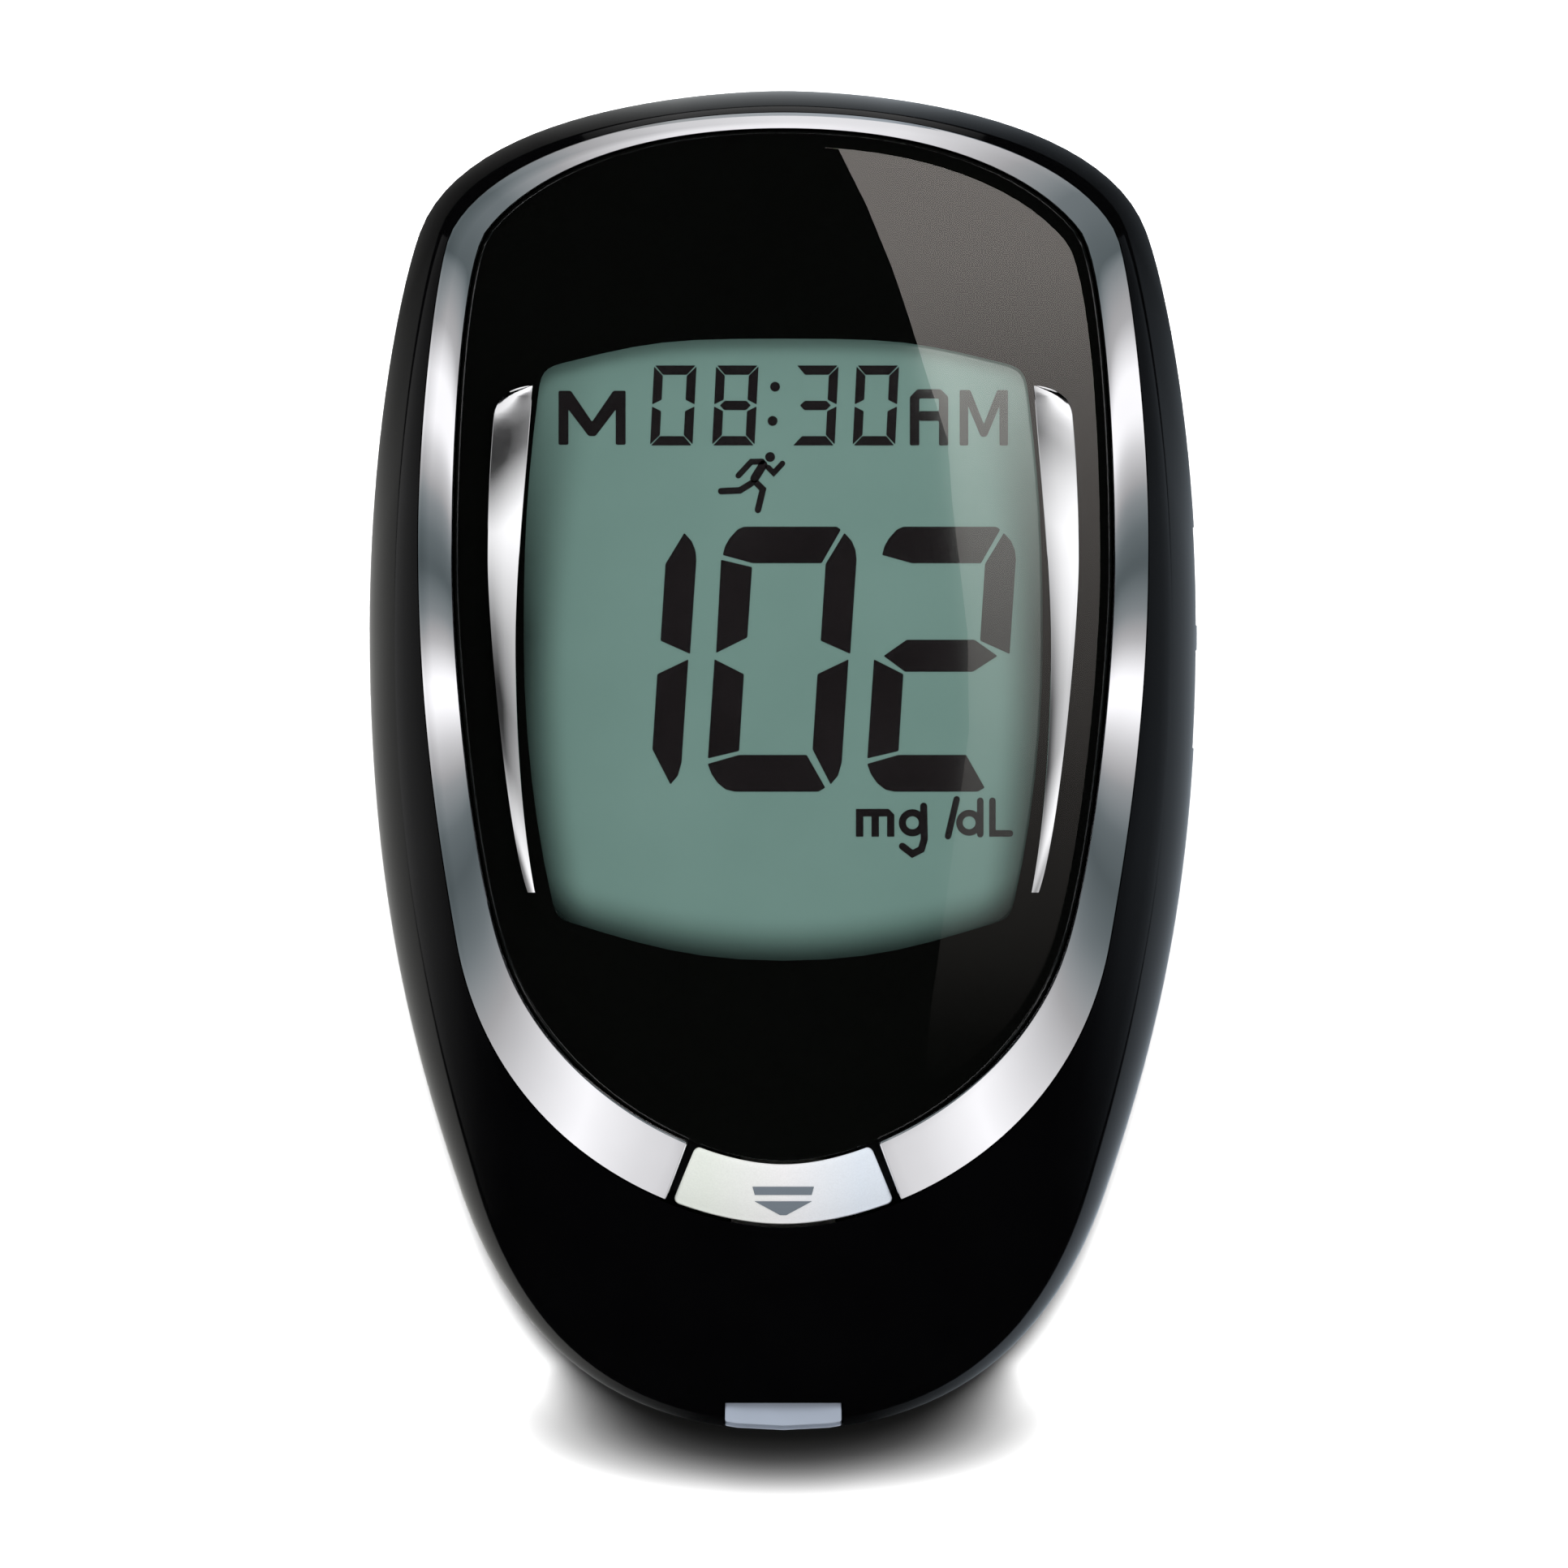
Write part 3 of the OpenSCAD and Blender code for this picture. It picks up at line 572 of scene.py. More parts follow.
def finished(piece, finish, body="root", replaced=()):
    """Gives a new piece its finish and its body, and hides the nodes that it stands for."""
    piece.data.materials.clear()
    piece.data.materials.append(FINISH[finish])
    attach(piece, body)
    if replaced:
        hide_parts(*replaced)
    return piece


# Pieces of the meter

def top_shell():
    """Glossy upper shell: a dome from the seam to the ring, its ledge and its inside."""
    body, rim = outline(BODY), grown(outline(RING_OUTER), 0.04)
    inside, ledge = grown(body, -WALL), grown(outline(RING_INNER), -LEDGE_IN)
    inner_top = [mix(q, r, 0.7) for q, r in zip(inside, rim)]
    under = SEAT_Z - LEDGE_H
    full = 1 - math.cos(math.radians(DOME_END))
    loops = [[mix(o, q, 0.08) + (SEAM_Z,) for o, q in zip(body, inside)],
             [o + (SEAM_Z + 0.12,) for o in body]]
    for k in range(1, DOME_STEPS + 1):
        t = math.radians(DOME_END * k / DOME_STEPS)
        loops.append([mix(o, r, (1 - math.cos(t)) / full)
                      + (SEAM_Z + (face_z(r) - 2.02 - SEAM_Z) * math.sin(t)
                         / math.sin(math.radians(DOME_END)),)
                      for o, r in zip(body, rim)])
    loops.append([r + (SEAT_Z,) for r in rim])
    loops.append([p + (SEAT_Z,) for p in ledge])
    loops.append([p + (under,) for p in ledge])
    for k in range(INSIDE_STEPS + 1):
        t = math.radians(90 - 90 * k / INSIDE_STEPS)
        loops.append([mix(q, m, 1 - math.cos(t)) + (SEAM_Z + (under - SEAM_Z) * math.sin(t),)
                      for q, m in zip(inside, inner_top)])
    shell = loft("top_shell", loops, joined=True)
    for at in SCREWS:
        carve(shell, rod("boss", at, BOSS_R, 7.2, under + 0.2), operation="UNION")
        carve(shell, rod("bore", at, BORE_R, 6.2, 11))
    turns = range(166, 195, 2)
    well = ([(x, y - 0.15) for x, y in (at_bearing(RING_OUTER, a) for a in turns)]
            + [(x, y + 1) for x, y in (at_bearing(RING_INNER, 360 - a) for a in turns)])
    carve(shell, slab("well", well, under - 1, CROWN_Z + 1),
          block("mouth", (-PORT_HALF, PORT_HALF), (-60, -41.9), (5.95, 20)),
          block("throat", (-PORT_HALF, PORT_HALF), (-43.2, -37.5), (5.95, 9.5)))
    for y in KEY_ROWS:
        carve(shell, block("key_cut", (24.55, 40), (y - KEY_CUT_HALF, y + KEY_CUT_HALF),
                           (5.55, 8.45)))
    smooth(shell)
    return finished(shell, "gloss_shell", replaced=["top_case"])


def ring_section(a, b, drop, bulge):
    """Section across the ring from its outer foot, over its crown, to its inner foot."""
    outer, inner = face_z(b) - 1.9 - drop, face_z(a) - 0.45 - drop

    def crown(t):
        return mix(b, a, t) + (outer + (inner - outer) * t + 4 * bulge * t * (1 - t),)
    low_edge, high_edge = crown(0.05), crown(0.95)
    return ([b + (SEAT_Z,), b + (outer - 0.12,), mix(b, a, 0.015) + (low_edge[2] - 0.08,)]
            + [crown(t / 20) for t in range(1, 20)]
            + [mix(b, a, 0.985) + (high_edge[2] - 0.06,), a + (inner - 0.16,), a + (SEAT_Z,)])


def ring_band(name, end_in, end_out, grow, drop, bulge, steps, turn, corner, length):
    """A stretch of the ring whose ends have rounded corners. Length is its half in mm."""
    ends = [corner * (1 - math.cos(math.radians(15 * k))) for k in range(6)]
    spots = [-1 + e / length for e in ends]
    inner = 1 - corner / length
    spots += [inner * (2 * j / steps - 1) for j in range(steps + 1)] + [-s for s in reversed(spots)]
    loops = []
    for s in spots:
        a, b = at_bearing(RING_INNER, turn + s * end_in), at_bearing(RING_OUTER, turn + s * end_out)
        near = min(corner, (1 - abs(s)) * length)
        inset = corner - math.sqrt(corner ** 2 - (corner - near) ** 2)
        a, b = (a[0], a[1] - grow), (b[0], b[1] + grow)
        share = inset / math.dist(a, b)
        loops.append(ring_section(mix(a, b, share), mix(b, a, share), drop + 0.6 * inset, bulge))
    return loft(name, loops)


def trim_ring():
    """Chrome ring, open at its lower end, where the button sits."""
    ring = ring_band("ring", 180 - end_bearing(RING_INNER, RING_END[0]),
                     180 - end_bearing(RING_OUTER, RING_END[1]),
                     grow=0, drop=0, bulge=0.28, steps=260, turn=0, corner=0.16, length=98)
    smooth(ring)
    return finished(ring, "ring_chrome", replaced=["trim_ring"])


def eject_button():
    """Pearl button that fills the gap of the ring, and the stem below it with its 1 in 2 ramp."""
    cap = ring_band("button", end_bearing(RING_INNER, BUTTON_END[0]),
                    end_bearing(RING_OUTER, BUTTON_END[1]),
                    grow=0.1, drop=0.1, bulge=0.38, steps=40, turn=180, corner=0.4, length=6.7)
    stem = loft("stem", [[(x, -29.4, 13.2), (x, -29.4, 11.56), (x, -27, 10.36), (x, -27, 13.2)]
                         for x in (-STEM_HALF, STEM_HALF)])
    button = join("button", cap, stem)
    smooth(button)
    return finished(button, "pearl_button", "eject_button", ["eject_button"])


def button_mark(button):
    """Bar and triangle that point at the strip port, laid on the button's crown."""
    bar = [(-2.0, -27.75), (2.0, -27.75), (1.85, -28.28), (-1.85, -28.28)]
    triangle = [(-1.85, -28.7), (1.85, -28.7), (0.2, -29.6), (-0.2, -29.6)]
    strips = []
    for shape, rows in ((bar, 4), (triangle, 6)):
        left, right = (shape[0], shape[3]), (shape[1], shape[2])
        loops = [[mix(mix(*left, k / rows), mix(*right, k / rows), i / 16) + (16.5,)
                  for i in range(17)] for k in range(rows + 1)]
        strips.append(sheet_of("mark", loops))
    mark = join("button_mark", *strips)
    apply_new(mark, "SHRINKWRAP", target=button, wrap_method="PROJECT", use_project_z=True,
              use_negative_direction=True, use_positive_direction=True, offset=0.004 * MM)
    apply_new(mark, "SOLIDIFY", thickness=0.03 * MM, offset=1)
    smooth(mark)
    return finished(mark, "button_mark", "eject_button")


def sheet_of(name, rows):
    """An open sheet over rows of points, made from a grid whose vertices are moved onto the points."""
    deselect()
    bpy.ops.mesh.primitive_grid_add(x_subdivisions=len(rows[0]) - 1, y_subdivisions=len(rows) - 1,
                                    size=MM, enter_editmode=True)
    piece = named(name)
    mesh = bmesh.from_edit_mesh(piece.data)
    mesh.verts.ensure_lookup_table()
    for vert, point in zip(mesh.verts, [p for row in reversed(rows) for p in row]):
        vert.co = Vector(point) * MM
    bmesh.update_edit_mesh(piece.data)
    bpy.ops.object.mode_set(mode="OBJECT")
    return piece


def window_lens():
    """Clear bowed window with a rounded edge that widens towards the button."""
    inner = outline(RING_INNER)
    foot, unit = grown(inner, -0.12), grown(inner, -1)
    face = [mix(p, q, 0.65 + 0.75 * max(0, min(1, (-18 - p[1]) / 7))) for p, q in zip(inner, unit)]
    loops = [[p + (14.5,) for p in foot]]
    for k in range(9):
        s = k / 8
        ring = [mix(p, q, s) for p, q in zip(foot, face)]
        loops.append([p + (face_z(p) - 0.65 * (1 - s) ** 1.7,) for p in ring])
    for s in [0.985] + [k / 20 for k in range(19, 0, -1)]:
        ring = [mix((0, MID_Y), p, s) for p in face]
        loops.append([p + (face_z(p),) for p in ring])
    lens = loft("window_lens", loops, high=(0, MID_Y, CROWN_Z))
    smooth(lens, 40)
    return finished(lens, "clear_window", replaced=["display_window"])


def crescent(side):
    """Crowned chrome inlay beside the display."""
    def x_at(path, y):
        low, high = 0.0, len(path) - 1.0
        for _ in range(32):
            mid = (low + high) / 2
            low, high = (mid, high) if along(path, mid)[1] > y else (low, mid)
        return along(path, mid)[0]
    top, tip = 24.36, -8.6
    loops = []
    for k in range(61):
        y = top - (top - tip) * (0.5 - 0.5 * math.cos(math.pi * k / 60)) ** 1.15
        out, near = x_at(CRESCENT_OUTER, y), x_at(CRESCENT_INNER, y)
        width = out - near
        row = [(side * out, y, 15.9), (side * out, y, face_z((out, y)))]
        for t in [0.015] + [i / 12 for i in range(1, 12)] + [0.985]:
            x = out - width * t
            lift = 0.03 + 0.07 * min(width, 1.6) * t * (1 - t)
            row.append((side * x, y, face_z((x, y)) + lift))
        row += [(side * near, y, face_z((near, y))), (side * near, y, 15.9)]
        loops.append(row)
    name = "accent_left" if side < 0 else "accent_right"
    inlay = loft("inlay_left" if side < 0 else "inlay_right", loops)
    smooth(inlay, 25)
    return finished(inlay, "inlay_chrome", replaced=[name])


# Marks on the display

BIG_DIGIT = {
    "top": [(1.01, 15.41), (1.16, 15.98), (1.46, 16.5), (1.98, 17.07), (2.38, 17.24),
            (8.4, 17.24), (8.66, 17.05), (7.42, 14.88), (2.95, 14.88)],
    "upper_left": [(0.9, 15.1), (2.91, 14.62), (2.6, 10.06), (0.58, 9.06)],
    "upper_right": [(8.9, 16.84), (9.38, 16.3), (9.62, 15.7), (9.68, 15.1), (9.27, 9.0),
                    (7.36, 9.85), (7.68, 14.83)],
    "middle": [(1.11, 8.86), (2.6, 9.91), (7.0, 9.91), (8.48, 8.86), (6.9, 7.84), (2.49, 7.84)],
    "lower_left": [(0.48, 8.64), (2.38, 7.68), (2.07, 2.7), (0.05, 2.22)],
    "lower_right": [(9.16, 8.64), (8.72, 1.95), (8.48, 1.1), (8.0, 0.53), (6.83, 2.81), (7.15, 7.68)],
    "bottom": [(0.04, 1.86), (0.28, 1.2), (0.68, 0.62), (1.2, 0.2), (1.8, 0.06), (7.2, 0.06),
               (7.65, 0.32), (6.45, 2.44), (2.07, 2.44)],
}
BIG_READING = ((-15.31, ("upper_right", "lower_right")),
               (-4.93, ("top", "upper_left", "upper_right", "lower_left", "lower_right", "bottom")),
               (5.4, ("top", "upper_right", "middle", "lower_left", "bottom")))
TIME_READING = ((-8.63, "abcdef"), (-4.61, "abcdefg"), (0.58, "abcdg"), (4.5, "abcdef"))


def time_digit(left, low, lit):
    """The lit segments of one small digit, a to f clockwise from the top and g in the middle.
    Segments are s wide, with g of gap at their ends."""
    width, height, slant = 2.75, 5.19, 0.05
    mid, s, g = height / 2, 0.6, 0.07
    shapes = {
        "a": [(g, height), (width - g, height), (width - s, height - s), (s, height - s)],
        "b": [(width, height - g), (width, mid + g), (width - s, mid + s / 2 + g),
              (width - s, height - s - g)],
        "c": [(width, mid - g), (width, g), (width - s, s + g), (width - s, mid - s / 2 - g)],
        "d": [(s, s), (width - s, s), (width - g, 0), (g, 0)],
        "e": [(0, mid - g), (s, mid - s / 2 - g), (s, s + g), (0, g)],
        "f": [(0, height - g), (s, height - s - g), (s, mid + s / 2 + g), (0, mid + g)],
        "g": [(s / 2 + g, mid), (s + g, mid + s / 2), (width - s - g, mid + s / 2),
              (width - s / 2 - g, mid), (width - s - g, mid - s / 2), (s + g, mid - s / 2)],
    }
    return [[(left + x + slant * y, low + y) for x, y in shapes[k]] for k in lit]


def stroke(points, width):
    """Outline of a line of that width through the points, with round ends."""
    half, steps, left, right = width / 2, 5, [], []

    def heading(a, b):
        return math.atan2(b[1] - a[1], b[0] - a[0])
    turns = [heading(a, b) for a, b in zip(points, points[1:])]
    for i, p in enumerate(points):
        a, b = turns[max(i - 1, 0)], turns[min(i, len(turns) - 1)]
        bend = (b - a + math.pi) % (2 * math.pi) - math.pi
        reach = half / max(math.cos(bend / 2), 0.5)
        side = a + bend / 2 + math.pi / 2
        left.append((p[0] + reach * math.cos(side), p[1] + reach * math.sin(side)))
        right.append((p[0] - reach * math.cos(side), p[1] - reach * math.sin(side)))

    def cap(p, start):
        return [(p[0] + half * math.cos(start - math.pi * k / steps),
                 p[1] + half * math.sin(start - math.pi * k / steps)) for k in range(1, steps)]
    return (left + cap(points[-1], turns[-1] + math.pi / 2) + right[::-1]
            + cap(points[0], turns[0] - math.pi / 2))


def letter_m(left, low, width, height, s):
    """Capital M as one outline."""
    v, inset = height * 0.16, s * 1.25
    shape = [(0, 0), (0, height), (inset, height), (width / 2, v + s * 1.45), (width - inset, height),
             (width, height), (width, 0), (width - s, 0), (width - s, height - s * 1.9),
             (width / 2 + s * 0.35, v), (width / 2 - s * 0.35, v), (s, height - s * 1.9), (s, 0)]
    return [(left + x, low + y) for x, y in shape]


def disc(at, radius, count=20):
    return [(at[0] + radius * math.cos(2 * math.pi * k / count),
             at[1] + radius * math.sin(2 * math.pi * k / count)) for k in range(count)]


def bowl(at, outer, inner, z, thickness):
    """A round letter bowl with its hole."""
    rings = [[p + (z,) for p in disc(at, inner, 28)], [p + (z,) for p in disc(at, outer, 28)]]
    top = [[(x, y, z + thickness) for x, y, _ in ring] for ring in rings[::-1]]
    return loft("bowl", rings + top, joined=True)


MARK_Z, MARK_T = 13.41, 0.02


def display_marks():
    """Everything that the display shows, printed dark on the film."""
    big = [[(left + x, y - 2.07) for x, y in BIG_DIGIT[part]]
           for left, parts in BIG_READING for part in parts]
    finished(plates("reading_digits", big, MARK_Z, MARK_T, 0.07), "lcd_segment")
    small = [shape for left, lit in TIME_READING for shape in time_digit(left, 20.45, lit)]
    clock = plates("clock_digits", small, MARK_Z, MARK_T, 0.06)
    dots = plates("colon", [disc((-0.53, 24.26), 0.32), disc((-0.69, 22.04), 0.32)], MARK_Z, MARK_T)
    finished(join("clock_digits", clock, dots), "lcd_segment")
    half_day = [(8.21, 20.45), (8.21, 23.6), (8.7, 24.1), (10.2, 24.1), (10.7, 23.6), (10.7, 20.45),
                (10.1, 20.45), (10.1, 22.05), (8.82, 22.05), (8.82, 22.68), (10.1, 22.68),
                (10.1, 23.5), (8.82, 23.5), (8.82, 20.45)]
    letters = [letter_m(-14.57, 20.5, 4.35, 3.5, 0.64), letter_m(11.44, 20.45, 3.13, 3.6, 0.55),
               half_day]
    finished(plates("clock_letters", letters, MARK_Z, MARK_T, 0.09), "lcd_segment")
    runner = [disc((-0.85, 19.7), 0.32), stroke([(-1.36, 19.4), (-2.07, 19.39), (-2.91, 18.49)], 0.38),
              stroke([(-0.98, 19.02), (-0.62, 18.66), (-0.05, 19.28)], 0.36),
              stroke([(-1.3, 19.2), (-1.86, 18.3)], 0.56),
              stroke([(-2.05, 18.0), (-2.81, 17.53), (-4.03, 17.48)], 0.42),
              stroke([(-1.72, 18.0), (-1.32, 17.6), (-1.64, 16.26)], 0.42)]
    finished(plates("exercise_mark", runner, MARK_Z, MARK_T), "lcd_segment")
    small_m = [(4.71, -4.93), (4.71, -3.13), (6.83, -3.13), (7.2, -3.5), (7.2, -4.93), (6.73, -4.93),
               (6.73, -3.62), (6.2, -3.62), (6.2, -4.93), (5.72, -4.93), (5.72, -3.62), (5.19, -3.62),
               (5.19, -4.93)]
    words = [small_m, stroke([(9.1, -2.95), (9.14, -5.1), (8.95, -5.75), (8.37, -6.05),
                              (7.72, -5.55)], 0.46),
             stroke([(11.24, -2.5), (10.68, -4.9)], 0.42), stroke([(12.77, -2.6), (12.77, -4.78)], 0.42),
             stroke([(13.56, -2.6), (13.56, -4.72), (14.7, -4.72)], 0.42)]
    units = plates("units", words, MARK_Z, MARK_T, 0.03)
    bowls = [bowl((8.37, -4.03), 0.88, 0.42, MARK_Z, MARK_T),
             bowl((12.05, -4.03), 0.84, 0.42, MARK_Z, MARK_T)]
    finished(join("units", units, *bowls), "lcd_segment")


def refined(name, node, finish, body, width):
    """A copy of a CAD node, with its edges rounded if a width is given."""
    piece = node_copy(name, node)
    if width:
        soften(piece, width)
    smooth(piece, 32, weighted=True)
    return finished(piece, finish, body, [node])


def return_spring():
    """The ejector's spring, a copy of its CAD node with a mesh of its own. In the meter it is squeezed
    against its lower seat as the slider comes down.
    """
    spring = refined("return_spring", "ejector_spring", "spring_steel", "root", 0)
    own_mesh(spring)


def dress_nodes():
    """Finishes of the nodes that show their own mesh, by the record's slots."""
    for row in frame["record"]["subparts"]:
        node = frame["nodes"][row["node"]]
        node.data.materials.clear()
        node.data.materials.append(FINISH[row["material_slot"]])


# Stage

def shining(card, shade, pieces=(), tint=None):
    """Makes a sheet shine for glossy surfaces alone, or for those pieces alone. Tint gives
    its colour from its brightness."""
    made = bpy.data.materials.new(card.name)
    made.use_nodes = True
    tree = made.node_tree
    tree.nodes.clear()
    strength = shade(tree)
    inputs = [("Strength", strength)]
    if tint:
        inputs.append(("Color", tint(tree, strength)))
    lamp = add(tree, "ShaderNodeEmission", inputs)
    out = add(tree, "ShaderNodeOutputMaterial")
    tree.links.new(lamp.outputs[0], out.inputs["Surface"])
    card.data.materials.append(made)
    card.visible_camera = card.visible_diffuse = card.visible_shadow = False
    if pieces:
        lit_only(card, pieces)


def lit_only(source, pieces):
    """Lets a lamp or a card reach only those pieces."""
    group = bpy.data.collections.new(source.name + "_reach")
    for piece in pieces:
        group.objects.link(piece)
    source.light_linking.receiver_collection = group


def panel(name, at, size, turn, shade, pieces, colour=(1, 1, 1)):
    """A flat lamp that only the gloss of those pieces shows."""
    deselect()
    bpy.ops.object.light_add(type="AREA", location=[c * MM for c in at],
                             rotation=[math.radians(c) for c in turn])
    lamp = bpy.context.object
    lamp.name = name
    lamp.data.shape = "RECTANGLE"
    lamp.data.size, lamp.data.size_y = size[0] * MM, size[1] * MM
    lamp.data.energy = 4 * size[0] * size[1] * MM ** 2
    lamp.data.color = colour
    lamp.data.use_nodes = True
    tree = lamp.data.node_tree
    tree.links.new(shade(tree), tree.nodes["Emission"].inputs["Strength"])
    lamp.visible_camera = lamp.visible_diffuse = False
    lit_only(lamp, pieces)


def stops_of(tree, value, stops, gain):
    """Brightness through stops of (place, brightness)."""
    low, high = stops[0][0], stops[-1][0]
    at = add(tree, "ShaderNodeMapRange", [("Value", value), ("From Min", low), ("From Max", high)])
    ramp = add(tree, "ShaderNodeValToRGB", [(0, at.outputs[0])]).color_ramp
    for element, (_, level) in zip(ramp.elements, (stops[0], stops[-1])):
        element.color = (level / gain,) * 3 + (1,)
    for place, level in stops[1:-1]:
        ramp.elements.new((place - low) / (high - low)).color = (level / gain,) * 3 + (1,)
    return sums(tree, "MULTIPLY", tree.nodes[-1].outputs[0], gain)


def times(one, other):
    """One brightness scaled by the other."""
    def shade(tree):
        return sums(tree, "MULTIPLY", one(tree), other(tree))
    return shade


def less(one, other, least):
    """One brightness minus the other, but no darker than least."""
    def shade(tree):
        return sums(tree, "MAXIMUM", sums(tree, "SUBTRACT", one(tree), other(tree)), least)
    return shade


def by_axis(axis, stops, gain=1.0):
    """Brightness along one axis, through stops of (millimetres, brightness)."""
    def shade(tree):
        axes = add(tree, "ShaderNodeSeparateXYZ",
                   [(0, add(tree, "ShaderNodeNewGeometry").outputs["Position"])]).outputs
        return stops_of(tree, axes[axis], [(place * MM, value) for place, value in stops], gain)
    return shade


def by_bearing(stops):
    """Brightness by the angle from +Y, alike on both sides, through stops of (degrees, sRGB)."""
    def shade(tree):
        axes = add(tree, "ShaderNodeSeparateXYZ",
                   [(0, add(tree, "ShaderNodeNewGeometry").outputs["Position"])]).outputs
        angle = sums(tree, "ARCTAN2", sums(tree, "ABSOLUTE", axes[0], 0.0), axes[1])
        return stops_of(tree, angle, [(math.radians(place), linear(grey, 0, 0)[0])
                                      for place, grey in stops], 1.3)
    return shade


def circle_at(radius, z):
    return [p + (z,) for p in disc((0, 0), radius, 96)]


# Brightness of the studio's cards. The stops were typed in and changed until the levels
# of a render and of the photograph agreed.
# What the chrome ring mirrors, from the top end round to the button
RING_BANDS = ((0, 252), (10, 238), (17, 208), (24, 166), (34, 120), (57, 98), (65.5, 180),
              (69, 266), (72, 262), (74, 212), (77, 145), (79.3, 112), (82, 92), (85, 136), (87, 182),
              (88.4, 232), (89.9, 276), (91.3, 272), (94, 212), (96.9, 155), (100, 110),
              (103.4, 94), (110, 122), (121.7, 170), (133.4, 223), (144.4, 262), (150, 245),
              (155, 228), (165, 210), (180, 190))
# What the rim of the body mirrors of the floor beside it
MAT_LEVELS = ((0, 170), (9, 165), (15, 120), (22, 80), (32, 62), (44, 75), (56, 120), (66, 160),
              (80, 172), (122, 172), (134, 190), (145, 215), (155, 190), (163, 120), (172, 30),
              (180, 10))
# What the window mirrors at the right, from the button up to the top end
WEDGE_EDGE = ((-21, 9.2), (-15.5, 9.7), (-13.6, 10.0), (2, 12.1), (8.3, 12.0), (12.6, 11.5), (16.8, 11.0),
              (21, 10.7), (25.7, 9.2), (28.7, 8.3), (32.2, 7.15), (36.4, 5.46), (40.4, 3.44),
              (42, 2.6))
WEDGE_LEVELS = ((-21, 0), (-18, 0.03), (-15, 0.1), (-12, 0.2), (-2, 0.52), (2, 0.75), (6, 0.97),
                (10, 1.2), (14, 1.48), (18, 1.76), (22, 2.18), (25, 2.55), (29, 3.1), (33, 3.6),
                (39, 3.9))
# What the left and right chrome crescents mirror overhead, from their tips up
LEFT_BANDS = ((-9, 0.4), (-6, 0.9), (-4, 0.75), (-1, 0.34), (3, 0.25), (8, 0.45), (15, 1.0),
              (18, 0.5), (19.7, 0.16), (21.4, 0.15), (22.4, 0.3), (24, 0.95))
RIGHT_BANDS = ((-9, 0.4), (-6, 0.92), (-4, 0.8), (0, 0.46), (4, 0.5), (9, 0.74), (15, 1.0),
               (18, 0.8), (20.5, 0.52), (22, 0.6), (23.5, 0.95))


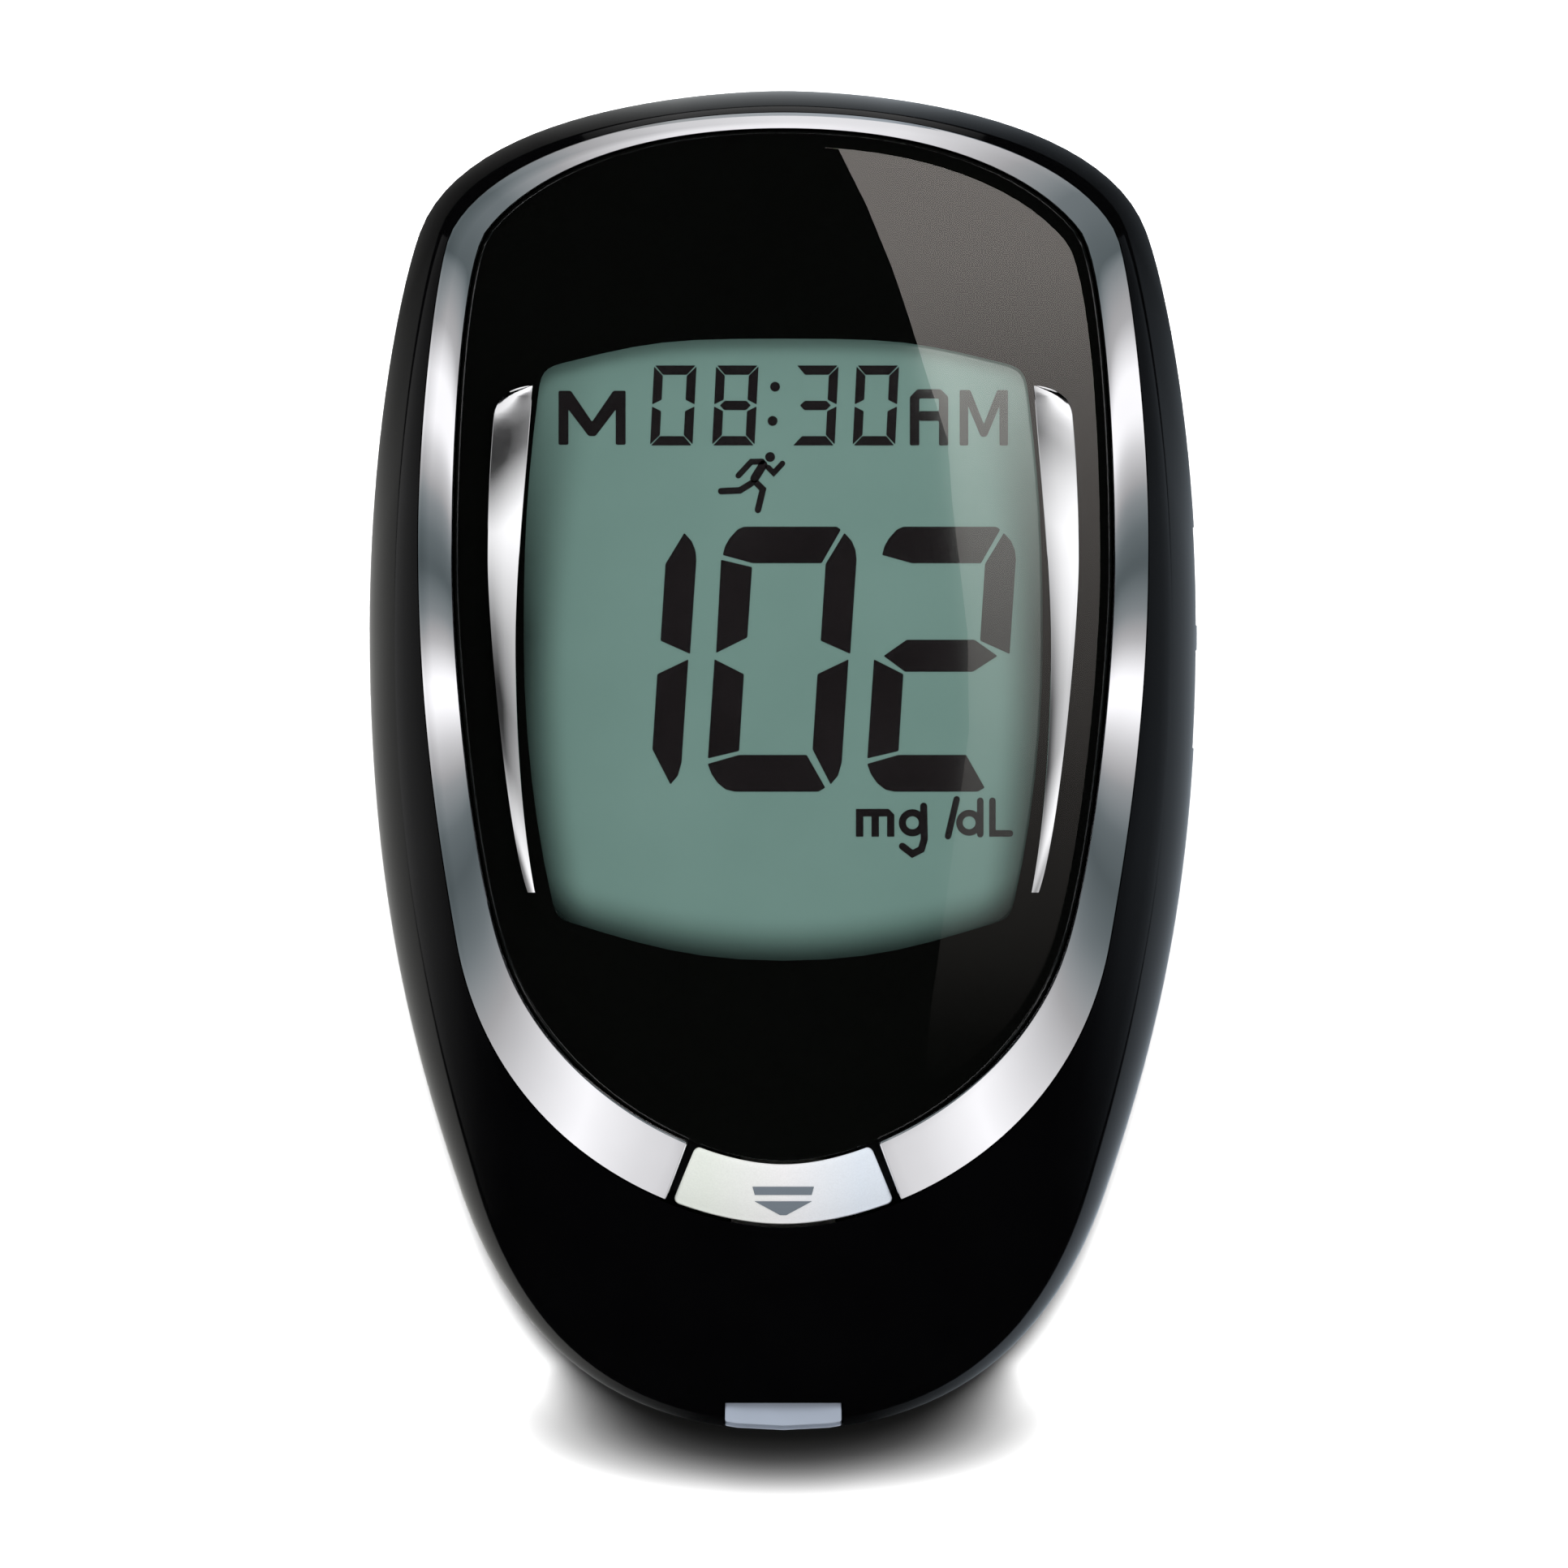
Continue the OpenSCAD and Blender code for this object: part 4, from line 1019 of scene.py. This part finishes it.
def reflections(shell, chrome, window):
    """Cards and panels that only glossy surfaces see, each the brightness of a softbox."""
    def cool_shades(tree, strength):
        fade = add(tree, "ShaderNodeMapRange", [("Value", strength), ("From Min", 0.1),
                                                ("From Max", 0.4)]).outputs[0]
        return two_tone(tree, fade, (0.82, 1.0, 1.05, 1), (1.0, 0.985, 0.99, 1))

    def from_right(tree):
        axes = add(tree, "ShaderNodeSeparateXYZ", [(0, place_of(tree))]).outputs
        ranges = [add(tree, "ShaderNodeMapRange",
                      [("Value", axes[axis]), ("From Min", low * MM), ("From Max", high * MM),
                       ("To Min", start), ("To Max", end)]).outputs[0]
                  for axis, low, high, start, end in
                  ((0, -20, 20, 0, 1), (2, 0, 25, 0.7, 1), (2, 150, 420, 1, 0.6))]
        return add(tree, "ShaderNodeMix",
                   [("Factor", ranges[0]), (2, ranges[1]), (3, ranges[2])]).outputs[0]

    def cool_right(tree, strength):
        axes = add(tree, "ShaderNodeSeparateXYZ", [(0, place_of(tree))]).outputs
        side = add(tree, "ShaderNodeMapRange", [("Value", axes[0]), ("From Min", -20 * MM),
                                                ("From Max", 20 * MM)]).outputs[0]
        return two_tone(tree, side, (1.0, 1.0, 0.97, 1), (0.84, 0.96, 1.08, 1))

    def warm(tree, strength):
        return 1.0, 0.93, 0.88, 1
    wall = loft("chrome_wall", [circle_at(60, 0.3), circle_at(100, 0.3), circle_at(100, 420)],
                low=False, high=False)
    shining(wall, times(by_bearing(RING_BANDS), from_right), chrome[:1], cool_shades)
    mat = loft("mat", [circle_at(2, 0.3), circle_at(60, 0.3)], low=True, high=False)
    shining(mat, by_bearing(MAT_LEVELS), tint=cool_right)
    square = [(-700, -700), (700, -700), (700, 700), (-700, 700)]
    boards = loft("boards", [[p + (60,) for p in square], [p + (900,) for p in square]], low=False)
    shining(boards, lambda tree: 0.0)

    def mirrored(y):
        return 2.549 * y - 7.28
    rows = [[(2.885 * x, mirrored(y), 297), (80, mirrored(y), 297)] for y, x in WEDGE_EDGE]
    wedge = sheet_of("wedge", rows[::-1])
    shining(wedge, by_axis(1, [(mirrored(y), value) for y, value in WEDGE_LEVELS], 4.0), window, warm)

    along_side = by_axis(1, [(-55, 0.0), (-44, 0.1), (-30, 0.5), (-12, 1.0), (20, 1.0), (40, 0.4)])
    panel("side_left", (-60, -4, 28), (96, 110), (0, -90, 0),
          times(along_side, by_axis(2, [(0, 0.42), (5, 0.35), (13, 0.28), (28, 0.2), (50, 0.1)])),
          shell)
    panel("side_right", (60, -4, 28), (96, 110), (0, 90, 0),
          times(along_side, by_axis(2, [(0, 0.36), (5, 0.25), (13, 0.19), (28, 0.17), (50, 0.1)])),
          shell, (0.85, 0.97, 1.1))
    panel("end_top", (0, 62, 20), (40, 80), (-90, 0, 0),
          by_axis(0, [(-20, 0.1), (-10, 0.5), (10, 0.5), (20, 0.1)]), shell)
    low_light = by_axis(2, [(15, 0.25), (50, 0.7), (90, 0.85), (165, 0.45)])
    for name, at, turn in (("inlays_left", (-70, 0), (0, -90, 0)), ("inlays_right", (70, 0), (0, 90, 0)),
                           ("inlays_low", (0, -70), (90, 0, 0)), ("inlays_high", (0, 70), (-90, 0, 0))):
        size = (150, 140) if turn[1] else (140, 150)
        panel(name, (*at, 90), size, turn, low_light, chrome[1:])
    for inlay, bands, at, cut in ((chrome[1], LEFT_BANDS, -48, 0.26),
                                  (chrome[2], RIGHT_BANDS, 48, 0.42)):
        panel(inlay.name + "_panel", (at, 18, 290), (240, 130), (0, 0, 0),
              less(by_axis(1, [(mirrored(y), value) for y, value in bands]),
                   by_axis(0, [(at - 28, cut), (at, 0.4 * cut), (at + 28, 0)]), 0.03), [inlay])


def stage(shell, chrome, window):
    deselect()
    bpy.ops.mesh.primitive_plane_add(size=6)
    floor = named("floor")
    made, tree, shader = new_finish("floor")
    tree.nodes.remove(shader)
    colour = two_tone(tree, seen_by_eye(tree), (0.1, 0.1, 0.1, 1), (0.2, 0.2, 0.2, 1))
    matt = add(tree, "ShaderNodeBsdfDiffuse", [("Color", colour)])
    tree.links.new(matt.outputs[0], tree.nodes["Material Output"].inputs["Surface"])
    floor.data.materials.append(made)

    world = bpy.data.worlds.new("studio")
    bpy.context.scene.world = world
    world.use_nodes = True
    sky = world.node_tree
    strength = add(sky, "ShaderNodeMapRange",
                   [("Value", seen_by_eye(sky)), ("To Min", 0.75), ("To Max", 1.0)])
    sky.links.new(strength.outputs[0], sky.nodes["Background"].inputs["Strength"])
    sky.nodes["Background"].inputs["Color"].default_value = (1, 1, 1, 1)

    def sun(name, strength, tilt, angle):
        deselect()
        bpy.ops.object.light_add(type="SUN", rotation=(-math.radians(90 - tilt), 0, 0))
        lamp = bpy.context.object
        lamp.name = name
        lamp.data.energy, lamp.data.angle = strength, math.radians(angle)
        lamp.visible_glossy = False
        return lamp
    sun("key", 1.05, 55, 30)
    lit_only(sun("floor_lamp", 38, 74, 24), [floor])
    flag()
    reflections(shell, chrome, window)


def flag():
    """A net over the floor at the lower end. It deepens the shadow there, and only shades."""
    net = loft("flag", [circle_at(2, 1.2), circle_at(70, 1.2)], low=True, high=False)
    made = bpy.data.materials.new("flag")
    made.use_nodes = True
    tree = made.node_tree
    tree.nodes.clear()
    axes = add(tree, "ShaderNodeSeparateXYZ", [(0, place_of(tree))]).outputs
    x = sums(tree, "DIVIDE", axes[0], 16.5 * MM)
    y = sums(tree, "DIVIDE", sums(tree, "ADD", axes[1], 43 * MM), 4.6 * MM)
    away = sums(tree, "SQRT", sums(tree, "ADD", sums(tree, "MULTIPLY", x, x),
                                   sums(tree, "MULTIPLY", y, y)), 0.0)
    through = stops_of(tree, away, ((0, 0.012), (0.4, 0.018), (0.55, 0.04), (0.65, 0.08),
                                    (0.76, 0.14), (0.88, 0.24), (1.0, 0.38), (1.1, 0.55), (1.25, 1.0)),
                       1.0)
    clear = add(tree, "ShaderNodeBsdfTransparent", [("Color", through)])
    out = add(tree, "ShaderNodeOutputMaterial")
    tree.links.new(clear.outputs[0], out.inputs["Surface"])
    net.data.materials.append(made)
    net.visible_camera = net.visible_glossy = net.visible_transmission = False


def seen_by_eye(tree):
    """1 for rays from the camera, from gloss and through glass, else 0."""
    path = add(tree, "ShaderNodeLightPath").outputs
    first = sums(tree, "MAXIMUM", path["Is Camera Ray"], path["Is Glossy Ray"])
    return sums(tree, "MAXIMUM", first, path["Is Transmission Ray"])


# Camera: straight above, far off, with the whole photograph's width at the height of the seam
def camera():
    deselect()
    distance, width, height = 3.0, 0.10234, SEAM_Z * MM
    bpy.ops.object.camera_add(location=(0.05 * MM, -1.54 * MM, height + distance))
    eye = bpy.context.object
    eye.data.sensor_width = 36
    eye.data.lens = 36 * distance / width
    eye.data.clip_start, eye.data.clip_end = 0.1, 10
    bpy.context.scene.camera = eye


def build():
    dress_nodes()
    shell = top_shell()
    ring = trim_ring()
    button = eject_button()
    button_mark(button)
    lens = window_lens()
    inlays = [crescent(-1), crescent(1)]
    display_marks()
    back = refined("back_shell", "back_case", "gloss_shell", "root", 0)
    refined("port_mouth", "strip_port_guide", "port_grey", "root", 0.12)
    refined("key_up", "side_key_up", "key_plastic", "side_key_up", 0.25)
    refined("key_down", "side_key_down", "key_plastic", "side_key_down", 0.25)
    refined("door", "battery_door", "door_gloss", "battery_door", 0.12)
    return_spring()
    stage([shell, back], [ring, *inlays], [lens, frame["nodes"]["lcd_polariser"]])
    camera()
    bpy.context.scene.view_settings.view_transform = "Standard"


build()
